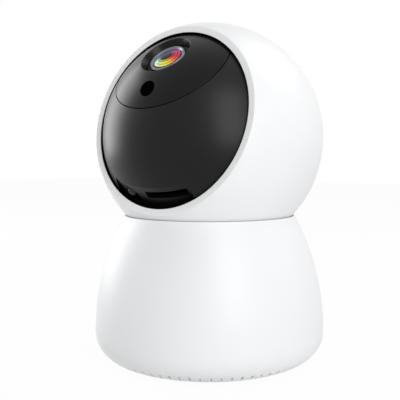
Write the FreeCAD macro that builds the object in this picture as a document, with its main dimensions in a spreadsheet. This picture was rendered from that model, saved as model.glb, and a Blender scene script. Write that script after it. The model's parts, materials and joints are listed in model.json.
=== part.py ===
import FreeCAD, Part
import math
import os
import re

import Sketcher

# A pan and tilt indoor security camera.
# World frame: millimetres, +Z up, origin under the foot on the pan axis, the head faces -Y.
# Head frame:  origin at the head's centre, local +Z out of the round opening.
# Ball frame:  origin at the head's centre, local +Z along the lens axis, local +X is world +X.

os.makedirs("parts", exist_ok=True)
doc = FreeCAD.newDocument("security_camera")
sheet = doc.addObject("Spreadsheet::Sheet", "sizes")

driving = {
    # head sphere and its round opening
    "head_radius": 40.0,
    "head_wall": 1.8,
    "opening_depth": 24.0,
    "opening_tilt": 13.8,
    "split_depth": 8.5,
    "tongue_depth": 2.5,
    "tongue_wall": 0.25,
    "tongue_root": 1.5,
    "trim_depth": 4.5,
    "trim_setback": 1.2,
    "trim_wall": 0.3,
    # camera ball inside the head
    "ball_gap": 0.7,
    "ball_wall": 2.0,
    "flat_cut": 4.0,
    "ball_split": 5.0,
    "tilt_rest": 46.5,
    # window panel, lens and light sensor
    "panel_radius": 20.55,
    "panel_wall": 1.6,
    "panel_seam": 0.3,
    "panel_ledge": 3.2,
    "ledge_wall": 1.9,
    "recess_mouth": 8.7,
    "recess_floor_radius": 7.4,
    "recess_floor_drop": 3.6,
    "recess_wall": 1.0,
    "barrel_radius": 6.3,
    "barrel_drop": 2.2,
    "barrel_back": 16.5,
    "glass_radius": 4.9,
    "glass_bulge": 1.1,
    "glass_edge": 1.2,
    "rear_lens_thickness": 3.0,
    "rear_lens_bulge": 0.8,
    "sensor_inset": 5.704,
    "sensor_radius": 2.7,
    # card and reset recess under the lens
    "recess_top": 11.3,
    "recess_bottom": 0.5,
    "recess_left": 17.2,
    "recess_right": 14.0,
    "recess_depth": 1.8,
    "recess_backing": 1.5,
    "slot_left": 3.1,
    "slot_right": 12.4,
    "slot_low": 6.6,
    "slot_high": 9.4,
    "button_side": 11.0,
    "button_rise": 6.9,
    "button_radius": 1.4,
    "button_drop": 3.5,
    "button_length": 4.6,
    "button_flange": 0.8,
    "scoop_side": 11.9,
    "scoop_radius": 5.0,
    "scoop_rise": 5.2,
    "scoop_drop": 4.6,
    # tilt axle
    "shaft_radius": 1.5,
    "shaft_length": 16.8,
    "pivot_radius": 2.0,
    "boss_radius": 5.0,
    "boss_gap": 0.7,
    "seat_depth": 4.2,
    "tilt_motor_radius": 9.8,
    "tilt_motor_length": 18.0,
    "tilt_ear_span": 12.8,
    # neck and turntable
    "neck_height": 51.2,
    "neck_radius": 30.164,
    "neck_gap": 0.35,
    "dish_wall": 2.0,
    "cup_gap": 0.5,
    "cup_wall": 1.65,
    "rim_overlap": 1.2,
    "lip_height": 2.0,
    "lip_gap": 0.15,
    "lip_wall": 0.25,
    "collar_drop": 0.5,
    "spindle_radius": 9.0,
    "spindle_bore": 6.5,
    "collar_radius": 13.5,
    "washer_thickness": 0.8,
    # base
    "base_radius": 40.7,
    "widest_height": 10.4,
    "shell_bottom": 0.8,
    "base_wall": 2.0,
    "roof_wall": 2.0,
    "cover_margin": 10.9,
    "cover_thickness": 2.0,
    "ledge_height": 1.5,
    "cover_boss_inset": 5.2,
    "cover_boss_radius": 2.8,
    "foot_inset": 0.6,
    "foot_width": 2.0,
    "foot_thickness": 1.5,
    "vent_count": 72,
    "vent_inset": 3.0,
    "vent_length": 1.8,
    "vent_width": 0.45,
    "vent_rise": 7.0,
    "usb_height": 10.1,
    "usb_window_width": 8.6,
    "usb_window_height": 3.8,
    # pan drive
    "deck_top": 25.2,
    "deck_thickness": 2.0,
    "deck_radius": 31.0,
    "post_circle": 26.0,
    "post_radius": 3.0,
    "gear_low": 27.0,
    "gear_thickness": 3.0,
    "gear_module": 0.5,
    "gear_teeth": 60,
    "pinion_teeth": 15,
    "pinion_margin": 0.3,
    "gear_backlash": 0.12,
    "clip_thickness": 0.8,
    "clip_groove": 0.6,
    "motor_radius": 12.0,
    "motor_length": 17.0,
    "motor_offset": 5.0,
    "motor_ear_span": 15.5,
    "motor_ear": 0.9,
    "motor_snout": 4.5,
    "motor_shaft_depth": 10.0,
    # speaker
    "speaker_radius": 10.0,
    "speaker_side": 3.0,
    "speaker_front": 20.5,
    "speaker_height": 6.4,
    "speaker_seat": 1.0,
    # circuit boards, cable, tripod socket and screws
    "board_thickness": 1.6,
    "main_board_low": 11.4,
    "board_side_margin": 15.5,
    "board_top_margin": 18.5,
    "board_hole_inset": 3.0,
    "ball_boss_inset": 2.2,
    "light_board_thickness": 1.0,
    "light_board_gap": 0.56,
    "card_board_thickness": 1.0,
    "power_board_low": 7.0,
    "power_side": 2.75,
    "plug_side": 3.5,
    "plug_height": 3.6,
    "cable_radius": 1.4,
    "tripod_radius": 3.175,
    "tripod_wall": 1.5,
    "tripod_depth": 6.0,
    "screw_radius": 1.1,
    "screw_head": 2.1,
    "screw_head_depth": 1.3,
    "cross_length": 2.4,
    "cross_width": 0.5,
    "cross_depth": 0.8,
    # clearances
    "running_gap": 0.05,
    "fit_gap": 0.02,
    "soft_gap": 0.1,
}

# sizes that follow from the driving ones
derived = {
    "neck_drop": "sqrt((head_radius + neck_gap)^2 - neck_radius^2)",
    "head_height": "(neck_height + neck_drop)",
    "head_inner": "(head_radius - head_wall)",
    "rim_drop": "(neck_drop + rim_overlap)",
    "dish_top": "(head_radius + neck_gap)",
    "dish_under": "(dish_top + dish_wall)",
    "cup_radius": "(head_radius - cup_gap)",
    "cup_inner": "(cup_radius - cup_wall)",
    "washer_top": "(head_height - cup_radius - collar_drop)",
    "washer_low": "(washer_top - washer_thickness)",
    "ball_radius": "(head_inner - ball_gap)",
    "ball_inner": "(ball_radius - ball_wall)",
    "ball_flat": "(ball_radius - flat_cut)",
    "ball_side_wall": "(ball_flat - ball_wall)",
    "boss_face": "(ball_flat + boss_gap)",
    "panel_under": "(ball_radius - panel_wall)",
    "recess_floor": "(ball_radius - recess_floor_drop)",
    "barrel_front": "(ball_radius - barrel_drop)",
    "recess_radius": "(ball_radius - recess_depth)",
    "button_front": "(ball_radius - button_drop)",
    "scoop_floor": "(ball_radius - scoop_drop)",
    "sensor_angle": "asin((panel_radius - sensor_inset) / ball_radius)",
    "main_board_top": "(main_board_low + board_thickness)",
    "board_half_width": "(ball_radius - board_side_margin)",
    "board_half_height": "(ball_radius - board_top_margin)",
    "lamp_circle": "((recess_mouth + panel_radius - panel_ledge) / 2)",
    "light_board_radius": "(panel_radius - 1.1)",
    "light_board_top": "(sqrt((panel_under - ledge_wall)^2 - light_board_radius^2) - light_board_gap)",
    "light_board_low": "(light_board_top - light_board_thickness)",
    "card_board_low": "(slot_high + 0.25)",
    "card_board_top": "(card_board_low + card_board_thickness)",
    "roll": "(widest_height - shell_bottom)",
    "flank_drop": "(neck_height - widest_height)",
    "flank_step": "(base_radius - neck_radius)",
    "flank": "((flank_step^2 + flank_drop^2) / (2 * flank_step))",
    "vent_outer": "(base_radius - vent_inset)",
    "vent_inner": "(vent_outer - vent_length)",
    "cover_radius": "(base_radius - cover_margin)",
    "cover_boss_circle": "(cover_radius - cover_boss_inset)",
    "foot_radius": "(cover_radius - foot_inset)",
    "cover_top": "(shell_bottom + cover_thickness)",
    "ledge_top": "(cover_top + ledge_height)",
    "hub_low": "(gear_low + gear_thickness + 0.4)",
    "centre_distance": "(gear_module * (gear_teeth + pinion_teeth) / 2)",
    "motor_centre": "(centre_distance + motor_offset)",
    "deck_low": "(deck_top - deck_thickness)",
    "motor_low": "(deck_low - motor_length)",
    "power_board_top": "(power_board_low + board_thickness)",
    "board_back": "(base_radius - 17.5)",
    "plug_back": "(board_back - 5.2)",
}

for row, (word, number) in enumerate(driving.items(), 1):
    sheet.set(f"A{row}", word)
    sheet.set(f"B{row}", str(number))
    sheet.setAlias(f"B{row}", word)
doc.recompute()

alias_pattern = re.compile(r"\b(" + "|".join(driving) + r")\b")
derived_pattern = re.compile(r"\b(" + "|".join(derived) + r")\b")
nodes = []


def spelled(formula):
    """Formula with each derived size written out in driving ones."""
    text = str(formula)
    while derived_pattern.search(text):
        text = derived_pattern.sub(lambda match: derived[match.group()], text)
    return text


def linked(formula):
    """Point the sheet's words in a formula at the sheet, for use in another object."""
    return alias_pattern.sub(r"sizes.\1", spelled(formula))


def size(formula):
    """Value of a formula in millimetres or degrees."""
    result = sheet.evalExpression(spelled(formula))
    return float(getattr(result, "Value", result))


def new(kind, name, **formulas):
    """Document object with each named property bound to a formula."""
    item = doc.addObject(kind, name)
    for prop, formula in formulas.items():
        item.setExpression(prop, linked(formula))
    return item


def place(item, x=0, y=0, z=0):
    for axis, formula in (("x", x), ("y", y), ("z", z)):
        if formula != 0:
            item.setExpression(f"Placement.Base.{axis}", linked(formula))
    return item


turns = {
    "z": FreeCAD.Rotation(),
    "x": FreeCAD.Rotation(FreeCAD.Vector(0, 1, 0), 90),
    "-x": FreeCAD.Rotation(FreeCAD.Vector(0, 1, 0), -90),
    "y": FreeCAD.Rotation(FreeCAD.Vector(1, 0, 0), -90),
    "-y": FreeCAD.Rotation(FreeCAD.Vector(1, 0, 0), 90),
    "-z": FreeCAD.Rotation(FreeCAD.Vector(1, 0, 0), 180),
}


def rod(name, radius, length, x=0, y=0, z=0, along="z"):
    item = new("Part::Cylinder", name, Radius=radius, Height=length)
    item.Placement.Rotation = turns[along]
    return place(item, x, y, z)


def block(name, length, width, height, x=0, y=0, z=0):
    """Box centred on x and y, standing on z."""
    item = new("Part::Box", name, Length=length, Width=width, Height=height)
    return place(item, f"{x} - ({length}) / 2", f"{y} - ({width}) / 2", z)


def sphere(name, radius, low=None, high=None):
    """Sphere at the origin, cut flat at heights low and high."""
    item = new("Part::Sphere", name, Radius=radius)
    if low is not None:
        item.setExpression("Angle1", linked(f"asin(({low}) / ({radius}))"))
    if high is not None:
        item.setExpression("Angle2", linked(f"asin(({high}) / ({radius}))"))
    return item


def fuse(name, *items):
    result = doc.addObject("Part::MultiFuse", name)
    result.Shapes = list(items)
    return result


def common(name, *items):
    result = doc.addObject("Part::MultiCommon", name)
    result.Shapes = list(items)
    return result


def group(name, items):
    result = doc.addObject("Part::Compound", name)
    result.Links = list(items)
    return result


def cut(name, base, *tools):
    result = doc.addObject("Part::Cut", name)
    result.Base = base
    result.Tool = tools[0] if len(tools) == 1 else fuse(f"{name}_tools", *tools)
    return result


def coded(name, shape):
    """Sub-part whose shape is worked out in code from the sheet's sizes."""
    result = doc.addObject("Part::Feature", name)
    result.Shape = shape
    return result


def turned(name, outline):
    """Body turned about its local Z from an outline of (radius, height) points.

    A third value is the radius of a counter-clockwise arc that arrives at the point.
    """
    body = doc.addObject("PartDesign::Body", name)
    sketch = body.newObject("Sketcher::SketchObject", f"{name}_outline")
    upright = next(item for item in body.Origin.OriginFeatures if item.Role == "XZ_Plane")
    sketch.AttachmentSupport = [(upright, "")]
    sketch.MapMode = "FlatFace"
    spots = [FreeCAD.Vector(size(point[0]), size(point[1]), 0) for point in outline]
    count = len(outline)
    for edge in range(count):
        start = spots[edge]
        end = spots[(edge + 1) % count]
        target = outline[(edge + 1) % count]
        if len(target) == 3:
            sketch.addGeometry(arc_between(start, end, size(target[2])))
        else:
            sketch.addGeometry(Part.LineSegment(start, end))
    for edge in range(count):
        following = (edge + 1) % count
        sketch.addConstraint(Sketcher.Constraint("Coincident", edge, 2, following, 1))
        for side, kind in ((0, "DistanceX"), (1, "DistanceY")):
            formula = outline[edge][side]
            if formula == 0:
                axis = -2 if side == 0 else -1
                sketch.addConstraint(Sketcher.Constraint("PointOnObject", edge, 1, axis))
            else:
                spot = size(formula)
                index = sketch.addConstraint(Sketcher.Constraint(kind, -1, 1, edge, 1, spot))
                sketch.setExpression(f"Constraints[{index}]", linked(formula))
        if len(outline[following]) == 3:
            radius = outline[following][2]
            index = sketch.addConstraint(Sketcher.Constraint("Radius", edge, size(radius)))
            sketch.setExpression(f"Constraints[{index}]", linked(radius))
    turn = body.newObject("PartDesign::Revolution", f"{name}_turn")
    turn.Profile = sketch
    turn.ReferenceAxis = (sketch, ["V_Axis"])
    turn.Angle = 360
    return body


def arc_between(start, end, radius):
    """Counter-clockwise arc of a radius from start to end, under half a turn."""
    chord = end - start
    middle = (start + end) * 0.5
    rise = math.sqrt(max(radius ** 2 - (chord.Length / 2) ** 2, 0))
    normal = FreeCAD.Vector(-chord.y, chord.x, 0).normalize()
    centre = middle + normal * rise
    first = math.atan2(start.y - centre.y, start.x - centre.x)
    last = math.atan2(end.y - centre.y, end.x - centre.x)
    circle = Part.Circle(centre, FreeCAD.Vector(0, 0, 1), radius)
    return Part.ArcOfCircle(circle, first, last)


def ring(name, inner, outer, low, high):
    """Turned ring of rectangular section."""
    return turned(name, [(inner, low), (outer, low), (outer, high), (inner, high)])


def around(radius, angle):
    """Formulas of a point on a circle about the origin."""
    return f"({radius}) * cos({angle})", f"({radius}) * sin({angle})"


def node(item, label, frame="world"):
    """Register a finished sub-part and stand it in its frame."""
    item.Label = label
    if frame != "world":
        tilt = {"head": "opening_tilt", "ball": "tilt_rest"}[frame]
        turn = FreeCAD.Rotation(FreeCAD.Vector(1, 0, 0), 45)
        item.Placement = FreeCAD.Placement(FreeCAD.Vector(), turn)
        item.setExpression("Placement.Rotation.Angle", linked(f"90 - {tilt}"))
        item.setExpression("Placement.Base.z", linked("head_height"))
    nodes.append(item)
    return item


def node_of(item, label, frame):
    """Register an item that has a place of its own, as a group of one."""
    return node(group(f"{label}_group", [item]), label, frame)


def screw(name, x, y, z, length, along="z"):
    """Cross-head screw: z is the head's outer face, and the shank runs along the given way."""
    spot = {"x": x, "y": y, "z": z}
    head = rod(f"{name}_head", "screw_head", "screw_head_depth", **spot, along=along)
    shank = rod(f"{name}_shank", "screw_radius", length, **spot, along=along)
    sunk = "-cross_depth" if along.startswith("-") else "0"
    slots = []
    for letter, across, up in (("a", "cross_length", "cross_width"), ("b", "cross_width", "cross_length")):
        if along[-1] == "x":
            sides = ("cross_depth", across, up)
            corner = (sunk, f"-{across} / 2", f"-{up} / 2")
        else:
            sides = (across, up, "cross_depth")
            corner = (f"-{across} / 2", f"-{up} / 2", sunk)
        bar = new("Part::Box", f"{name}_cross_{letter}", Length=sides[0], Width=sides[1], Height=sides[2])
        slots.append(place(bar, *(f"{spot[key]} + {shift}" for key, shift in zip("xyz", corner))))
    return cut(name, fuse(f"{name}_blank", head, shank), *slots)


def screws_at(label, spots, z, length, along="z", frame="world"):
    """Node of equal screws, one at each named spot."""
    made = [screw(f"{label}_{name}", x, y, z, length, along) for name, x, y in spots]
    return node(group(label, made), label, frame)


def named_circle(radius, angles):
    """Named spots on a circle about the origin."""
    return [(angle, *around(radius, angle)) for angle in angles]


# ---- base: shell, cover, foot and tripod socket ----

cover_spots = named_circle("cover_boss_circle", (0, 120, 240))
post_spots = named_circle("post_circle", (50, 130, 230, 310))
power_spots = [("a", "-5", "board_back - 6.2"), ("b", "10.5", "board_back - 2.2")]
tap_radius = "(screw_radius + fit_gap)"
hole_radius = "(screw_radius + 0.1)"
sink_radius = "(screw_head + 0.1)"


def make_base_shell():
    skin = turned("base_skin", [
        (0, "shell_bottom"),
        ("base_radius - roll", "shell_bottom"),
        ("base_radius", "widest_height", "roll"),
        ("neck_radius", "neck_height", "flank"),
        (0, "neck_height"),
    ])
    inner_low = "(shell_bottom + base_wall)"
    inner_flank = "(flank - base_wall)"
    cavity_top = "(neck_height - roof_wall)"
    cavity_rise = f"({cavity_top} - widest_height)"
    cavity_top_radius = f"base_radius - flank + sqrt({inner_flank}^2 - {cavity_rise}^2)"
    hollow = turned("base_hollow", [
        (0, inner_low),
        ("base_radius - roll", inner_low),
        ("base_radius - base_wall", "widest_height", "roll - base_wall"),
        (cavity_top_radius, cavity_top, inner_flank),
        (0, cavity_top),
    ])
    dish_ball = place(sphere("dish_ball", "dish_under"), z="head_height")
    wall = cut("base_wall_blank", skin, cut("base_hollow_under_dish", hollow, dish_ball))

    flange_radius = "collar_radius + 2.5"
    flange_drop = 2.2
    sleeve_wall = 3
    recess_height = 8
    solids = [
        wall,
        rod("hub_flange", flange_radius, "4.5", z=f"washer_low - {flange_drop}"),
        rod("hub_sleeve", f"spindle_radius + {sleeve_wall}", "washer_low - hub_low", z="hub_low"),
        ring("cover_ledge", "cover_radius - 3.8", "cover_radius + 3", "cover_top", "ledge_top"),
    ]
    boss_height = 9.2
    for name, x, y in cover_spots:
        solids.append(rod(f"cover_boss_{name}", "cover_boss_radius", boss_height, x, y, "cover_top"))
    post_height = "neck_height - deck_top - 5.2"
    for name, x, y in post_spots:
        solids.append(rod(f"deck_post_{name}", "post_radius", post_height, x, y, "deck_top"))

    tools = [
        place(sphere("seat_ball", "dish_top"), z="head_height"),
        rod("cover_opening", "cover_radius + soft_gap", "cover_top"),
        rod("washer_recess", "collar_radius + 0.5", recess_height, z="washer_low"),
        rod("spindle_hole", "spindle_radius + running_gap", "washer_top - gear_low + 1", z="gear_low"),
        block("usb_window", "usb_window_width", 12, "usb_window_height", y="base_radius",
              z="usb_height - usb_window_height / 2"),
        rod("speaker_room", "speaker_radius + 1.8", "4", "speaker_side", "-speaker_front", "cover_top"),
        vent_cutters(),
    ]
    for name, x, y in cover_spots:
        tools.append(rod(f"cover_tap_{name}", tap_radius, 8.5, x, y, "shell_bottom"))
    for name, x, y in post_spots:
        tools.append(rod(f"deck_tap_{name}", tap_radius, 8, x, y, "deck_top"))
    node(cut("base_shell", fuse("base_blank", *solids), *tools), "base_shell")


def vent_cutters():
    """Ring of upright radial slots through the shell's lower roll."""
    inner = size("vent_inner")
    width = size("vent_width")
    corner = FreeCAD.Vector(inner, -width / 2, size("shell_bottom - 0.3"))
    slot = Part.makeBox(size("vent_outer") - inner, width, size("vent_rise"), corner)
    count = int(size("vent_count"))
    slots = []
    for index in range(count):
        copy = slot.copy()
        copy.rotate(FreeCAD.Vector(), FreeCAD.Vector(0, 0, 1), 360 * index / count)
        slots.append(copy)
    return coded("vent_cutters", Part.makeCompound(slots))


def make_bottom_cover():
    groove_in = "foot_radius - foot_width - soft_gap"
    groove_out = "foot_radius + soft_gap"
    plate = turned("cover_plate", [
        (0, "shell_bottom"),
        (groove_in, "shell_bottom"),
        (groove_in, "foot_thickness"),
        (groove_out, "foot_thickness"),
        (groove_out, "shell_bottom"),
        ("cover_radius", "shell_bottom"),
        ("cover_radius", "cover_top"),
        (0, "cover_top"),
    ])
    rim = ring("speaker_rim", "speaker_radius + 0.3", "speaker_radius + 1.5", "cover_top", "cover_top + 3")
    place(rim, "speaker_side", "-speaker_front")
    solids = [
        plate,
        rim,
        rod("tripod_boss", "tripod_radius + tripod_wall + 3.325", "tripod_depth + 1", z="shell_bottom + 1"),
    ]
    for name, x, y in power_spots:
        solids.append(rod(f"power_post_{name}", 2.4, "power_board_low - cover_top", x, y, "cover_top"))

    tap_depth = 3.5
    tools = [rod("tripod_pocket", "tripod_radius + tripod_wall + fit_gap", "tripod_depth + fit_gap",
                 z="shell_bottom")]
    for name, x, y in cover_spots:
        tools.append(rod(f"cover_hole_{name}", hole_radius, "cover_top + 2", x, y))
        tools.append(rod(f"cover_sink_{name}", sink_radius, "screw_head_depth + 0.2", x, y, "shell_bottom"))
    for name, x, y in power_spots:
        tools.append(rod(f"power_tap_{name}", tap_radius, tap_depth, x, y, f"power_board_low - {tap_depth}"))
    sound_hole = 1.1
    sound_circle = 5
    sound_spots = [("middle", 0, 0)] + named_circle(sound_circle, range(0, 360, 60))
    for name, x, y in sound_spots:
        tools.append(rod(f"sound_hole_{name}", sound_hole, "cover_top + 2", f"speaker_side + {x}",
                         f"-speaker_front + {y}"))
    node(cut("bottom_cover", fuse("cover_blank", *solids), *tools), "bottom_cover")


def make_foot_and_tripod():
    foot = ring("foot_ring", "foot_radius - foot_width", "foot_radius", 0, "foot_thickness")
    node(foot, "foot_ring")
    insert = ring("tripod_insert", "tripod_radius", "tripod_radius + tripod_wall", "shell_bottom",
                  "shell_bottom + tripod_depth")
    node(insert, "tripod_insert")
    screws_at("bottom_screws", cover_spots, "shell_bottom + running_gap", 8)


# ---- base: deck, pan motor, speaker and power board ----

pan_ear_spots = [("front", "-motor_centre", "-motor_ear_span"), ("back", "-motor_centre", "motor_ear_span")]


def make_deck_and_motor():
    through = "deck_thickness + 4"
    under = "deck_low - 2"
    disc = rod("deck_disc", "deck_radius", "deck_thickness", z="deck_low")
    tools = [
        rod("deck_centre_hole", "spindle_bore + 1.5", through, z=under),
        rod("deck_motor_hole", "motor_snout + 0.2", through, "-centre_distance", 0, under),
        block("deck_cable_notch", 10, 12, through, 4, "deck_radius", under),
    ]
    for name, x, y in post_spots:
        tools.append(rod(f"deck_hole_{name}", hole_radius, through, x, y, under))
    for name, x, y in pan_ear_spots:
        tools.append(rod(f"deck_ear_tap_{name}", tap_radius, through, x, y, under))
    node(cut("motor_deck", disc, *tools), "motor_deck")
    screws_at("deck_screws", post_spots, "deck_low - screw_head_depth", "deck_thickness + 7")

    ear_width = 7
    lug_width = 12
    can = rod("pan_motor_can", "motor_radius", "motor_length", "-motor_centre", 0, "motor_low")
    snout = rod("pan_motor_snout", "motor_snout", 1.6, "-centre_distance", 0, "deck_low")
    ears = block("pan_motor_ears", ear_width, "2 * motor_ear_span + 6", "motor_ear", "-motor_centre", 0,
                 "deck_low - motor_ear")
    lug = block("pan_motor_lug", 4, lug_width, 5, "-motor_centre + motor_radius", 0, "motor_low + 1")
    tools = [rod("pan_motor_bore", "shaft_radius + running_gap", "motor_shaft_depth + 3", "-centre_distance",
                 0, "deck_low - motor_shaft_depth - 1")]
    for name, x, y in pan_ear_spots:
        tools.append(rod(f"pan_ear_hole_{name}", hole_radius, 3, x, y, under))
    node(cut("pan_motor", fuse("pan_motor_blank", can, snout, ears, lug), *tools), "pan_motor")
    screws_at("pan_motor_screws", pan_ear_spots, "deck_low - motor_ear - screw_head_depth", 4.2)


def make_speaker():
    gasket = ring("speaker_gasket", "speaker_radius - 2", "speaker_radius", "cover_top",
                  "cover_top + speaker_seat")
    node(place(gasket, "speaker_side", "-speaker_front"), "speaker_gasket")
    magnet_radius = 5
    can = turned("speaker", [
        (0, "cover_top + 2"),
        (3, "cover_top + 1.4"),
        ("speaker_radius - 2.4", "cover_top + 1.9"),
        ("speaker_radius - 1.6", "cover_top + speaker_seat"),
        ("speaker_radius", "cover_top + speaker_seat"),
        ("speaker_radius", "cover_top + 3.4"),
        (magnet_radius, "cover_top + 4.4"),
        (magnet_radius, "cover_top + speaker_height"),
        (0, "cover_top + speaker_height"),
    ])
    node(place(can, "speaker_side", "-speaker_front"), "speaker")


def make_power_board():
    board = block("power_board_plate", 22.5, 20.5, "board_thickness", "power_side", "board_back",
                  "power_board_low")
    holes = [rod(f"power_hole_{name}", hole_radius, "board_thickness + 2", x, y, "power_board_low - 1")
             for name, x, y in power_spots]
    node(cut("power_board", board, *holes), "power_board")

    shell = block("usb_shell", 7.8, 6.4, 2.9, 0, "board_back + 11.2", "power_board_top")
    mouth = block("usb_mouth", 6.9, 5.4, 2.0, 0, "board_back + 12.2", "power_board_top + 0.45")
    tongue = block("usb_tongue", 5.4, 4.4, 0.6, 0, "board_back + 11", "power_board_top + 1.15")
    node(fuse("usb_socket", cut("usb_can", shell, mouth), tongue), "usb_socket")

    plug = block("power_plug", 7, 5, "plug_height", "plug_side", "plug_back", "power_board_top")
    node(plug, "power_plug")
    chip = block("power_chip", 5, 4, 1.2, -3, "board_back + 0.8", "power_board_top")
    capacitor = rod("power_capacitor", 2, 5, 9.5, "board_back + 5.8", "power_board_top")
    node(group("power_components", [chip, capacitor]), "power_components")
    screws_at("power_board_screws", power_spots, "power_board_top + screw_head_depth", 6.1, "-z")


def make_harness():
    """Round cable from the plug on the power board up into the hollow spindle."""
    side = size("plug_side")
    back = size("plug_back")
    start = size("power_board_top + plug_height")
    rise = 5
    points = [
        FreeCAD.Vector(side, back, start),
        FreeCAD.Vector(side, back, start + rise),
        FreeCAD.Vector(0, 0, size("deck_low - 1")),
        FreeCAD.Vector(0, 0, size("head_height - cup_radius - 1")),
    ]
    node(coded("base_harness", cable(points, size("cable_radius"))), "base_harness")


def cable(points, radius):
    """Round cable of straight runs joined by tangent arcs."""
    edges = []
    start = points[0]
    for before, corner, after in zip(points, points[1:], points[2:]):
        into = (corner - before).normalize()
        away = (after - corner).normalize()
        half_turn = into.getAngle(away) / 2
        setback = 0.45 * min((corner - before).Length, (after - corner).Length)
        bend = setback / math.tan(half_turn)
        first = corner - into * setback
        last = corner + away * setback
        inward = (away - into).normalize()
        centre = corner + inward * math.hypot(setback, bend)
        middle = centre - inward * bend
        print(f"cable bend radius {bend:.1f}")
        edges.append(Part.LineSegment(start, first).toShape())
        edges.append(Part.Arc(first, middle, last).toShape())
        start = last
    edges.append(Part.LineSegment(start, points[-1]).toShape())
    path = Part.Wire(edges)
    section = Part.Wire(Part.makeCircle(radius, points[0], points[1] - points[0]))
    return path.makePipeShell([section], True, False)


# ---- pan drive: motor shaft, pinion, gear and washer ----

def gear_blank(teeth, thickness):
    """Spur gear with involute flanks and a little backlash, one tooth pointing along +X."""
    pressure = math.radians(20)
    addendum = 0.85
    dedendum = 1.15
    flank_steps = 5
    module = size("gear_module")
    pitch = module * teeth / 2
    base = pitch * math.cos(pressure)
    tip = pitch + addendum * module
    root = pitch - dedendum * module
    start = max(base, root)
    half = math.pi / (2 * teeth) - size("gear_backlash") / (4 * pitch)

    def involute(angle):
        return math.tan(angle) - angle

    def flank_angle(radius):
        return half + involute(pressure) - involute(math.acos(min(base / radius, 1)))

    def spot(radius, angle):
        return FreeCAD.Vector(radius * math.cos(angle), radius * math.sin(angle), 0)

    def flank_curve(middle, sign, radii):
        curve = Part.BSplineCurve()
        curve.interpolate([spot(radius, middle + sign * flank_angle(radius)) for radius in radii])
        return curve.toShape()

    radii = [start + (tip - start) * index / flank_steps for index in range(flank_steps + 1)]
    foot = flank_angle(start)
    crest = flank_angle(tip)
    edges = []
    for tooth in range(teeth):
        middle = 2 * math.pi * tooth / teeth
        following = middle + 2 * math.pi / teeth
        if root < start:
            edges.append(Part.makeLine(spot(root, middle - foot), spot(start, middle - foot)))
        edges.append(flank_curve(middle, -1, radii))
        top = Part.Arc(spot(tip, middle - crest), spot(tip, middle), spot(tip, middle + crest))
        edges.append(top.toShape())
        edges.append(flank_curve(middle, 1, radii[::-1]))
        if root < start:
            edges.append(Part.makeLine(spot(start, middle + foot), spot(root, middle + foot)))
        valley = Part.Arc(spot(root, middle + foot), spot(root, (middle + following) / 2),
                          spot(root, following - foot))
        edges.append(valley.toShape())
    return Part.Face(Part.Wire(edges)).extrude(FreeCAD.Vector(0, 0, thickness))


def make_pan_drive():
    low = size("gear_low")
    thickness = size("gear_thickness")
    margin = size("pinion_margin")
    blank = coded("pan_gear_blank", gear_blank(int(size("gear_teeth")), thickness))
    blank.Placement.Base = FreeCAD.Vector(0, 0, low)
    bore = rod("pan_gear_bore", "spindle_radius + fit_gap", "gear_thickness + 2", z="gear_low - 1")
    node(cut("pan_gear", blank, bore), "pan_gear")

    pinion = gear_blank(int(size("pinion_teeth")), thickness + 2 * margin)
    pinion.rotate(FreeCAD.Vector(), FreeCAD.Vector(0, 0, 1), 180 / size("pinion_teeth"))
    pinion_blank = coded("pinion_blank", pinion)
    pinion_blank.Placement.Base = FreeCAD.Vector(-size("centre_distance"), 0, low - margin)
    pinion_bore = rod("pinion_bore", "shaft_radius + fit_gap", "gear_thickness + 3", "-centre_distance", 0,
                      "gear_low - 1")
    node(cut("pan_pinion", pinion_blank, pinion_bore), "pan_pinion")
    shaft_low = "(deck_low - motor_shaft_depth)"
    shaft = rod("pan_motor_shaft", "shaft_radius", f"gear_low + gear_thickness + pinion_margin - {shaft_low}",
                "-centre_distance", 0, shaft_low)
    node(shaft, "pan_motor_shaft")

    clip_low = "gear_low - clip_thickness"
    clip = ring("gear_clip", "spindle_radius - clip_groove + fit_gap", "spindle_radius + 2", clip_low,
                "gear_low")
    node(clip, "gear_clip")
    washer = ring("thrust_washer", "spindle_radius + soft_gap", "collar_radius - 0.5", "washer_low",
                  "washer_top - running_gap")
    node(washer, "thrust_washer")


# ---- head: turntable cup, two shells, trim, ribbon, axle pins ----

def make_turntable():
    bowl = cut("cup_bowl", sphere("cup_ball", "cup_radius", high="-rim_drop"),
               sphere("cup_hollow", "cup_inner"))
    lip_outer = "(head_inner - lip_gap)"
    lip_ball = sphere("cup_lip_ball", lip_outer, low="-rim_drop - 1.2", high="-rim_drop + lip_height")
    lip = cut("cup_lip", lip_ball, sphere("cup_lip_hollow", f"{lip_outer} - lip_wall"))
    shell = place(fuse("cup_shell", bowl, lip), z="head_height")
    clear = place(sphere("cup_clear", "cup_inner"), z="head_height")
    collar = cut("cup_collar_dished", rod("cup_collar", "collar_radius", 6, z="washer_top"), clear)
    groove_low = "gear_low - clip_thickness - fit_gap"
    groove_radius = "spindle_radius - clip_groove"
    spindle = turned("spindle", [
        ("spindle_bore", f"{groove_low} - 0.58"),
        ("spindle_radius", f"{groove_low} - 0.58"),
        ("spindle_radius", groove_low),
        (groove_radius, groove_low),
        (groove_radius, "gear_low"),
        ("spindle_radius", "gear_low"),
        ("spindle_radius", "washer_top + 1"),
        ("spindle_bore", "washer_top + 1"),
    ])
    bore = rod("spindle_bore_cut", "spindle_bore", 10, z="washer_top - 1")
    node(cut("turntable_cup", fuse("cup_blank", shell, collar, spindle), bore), "turntable_cup")


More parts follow.
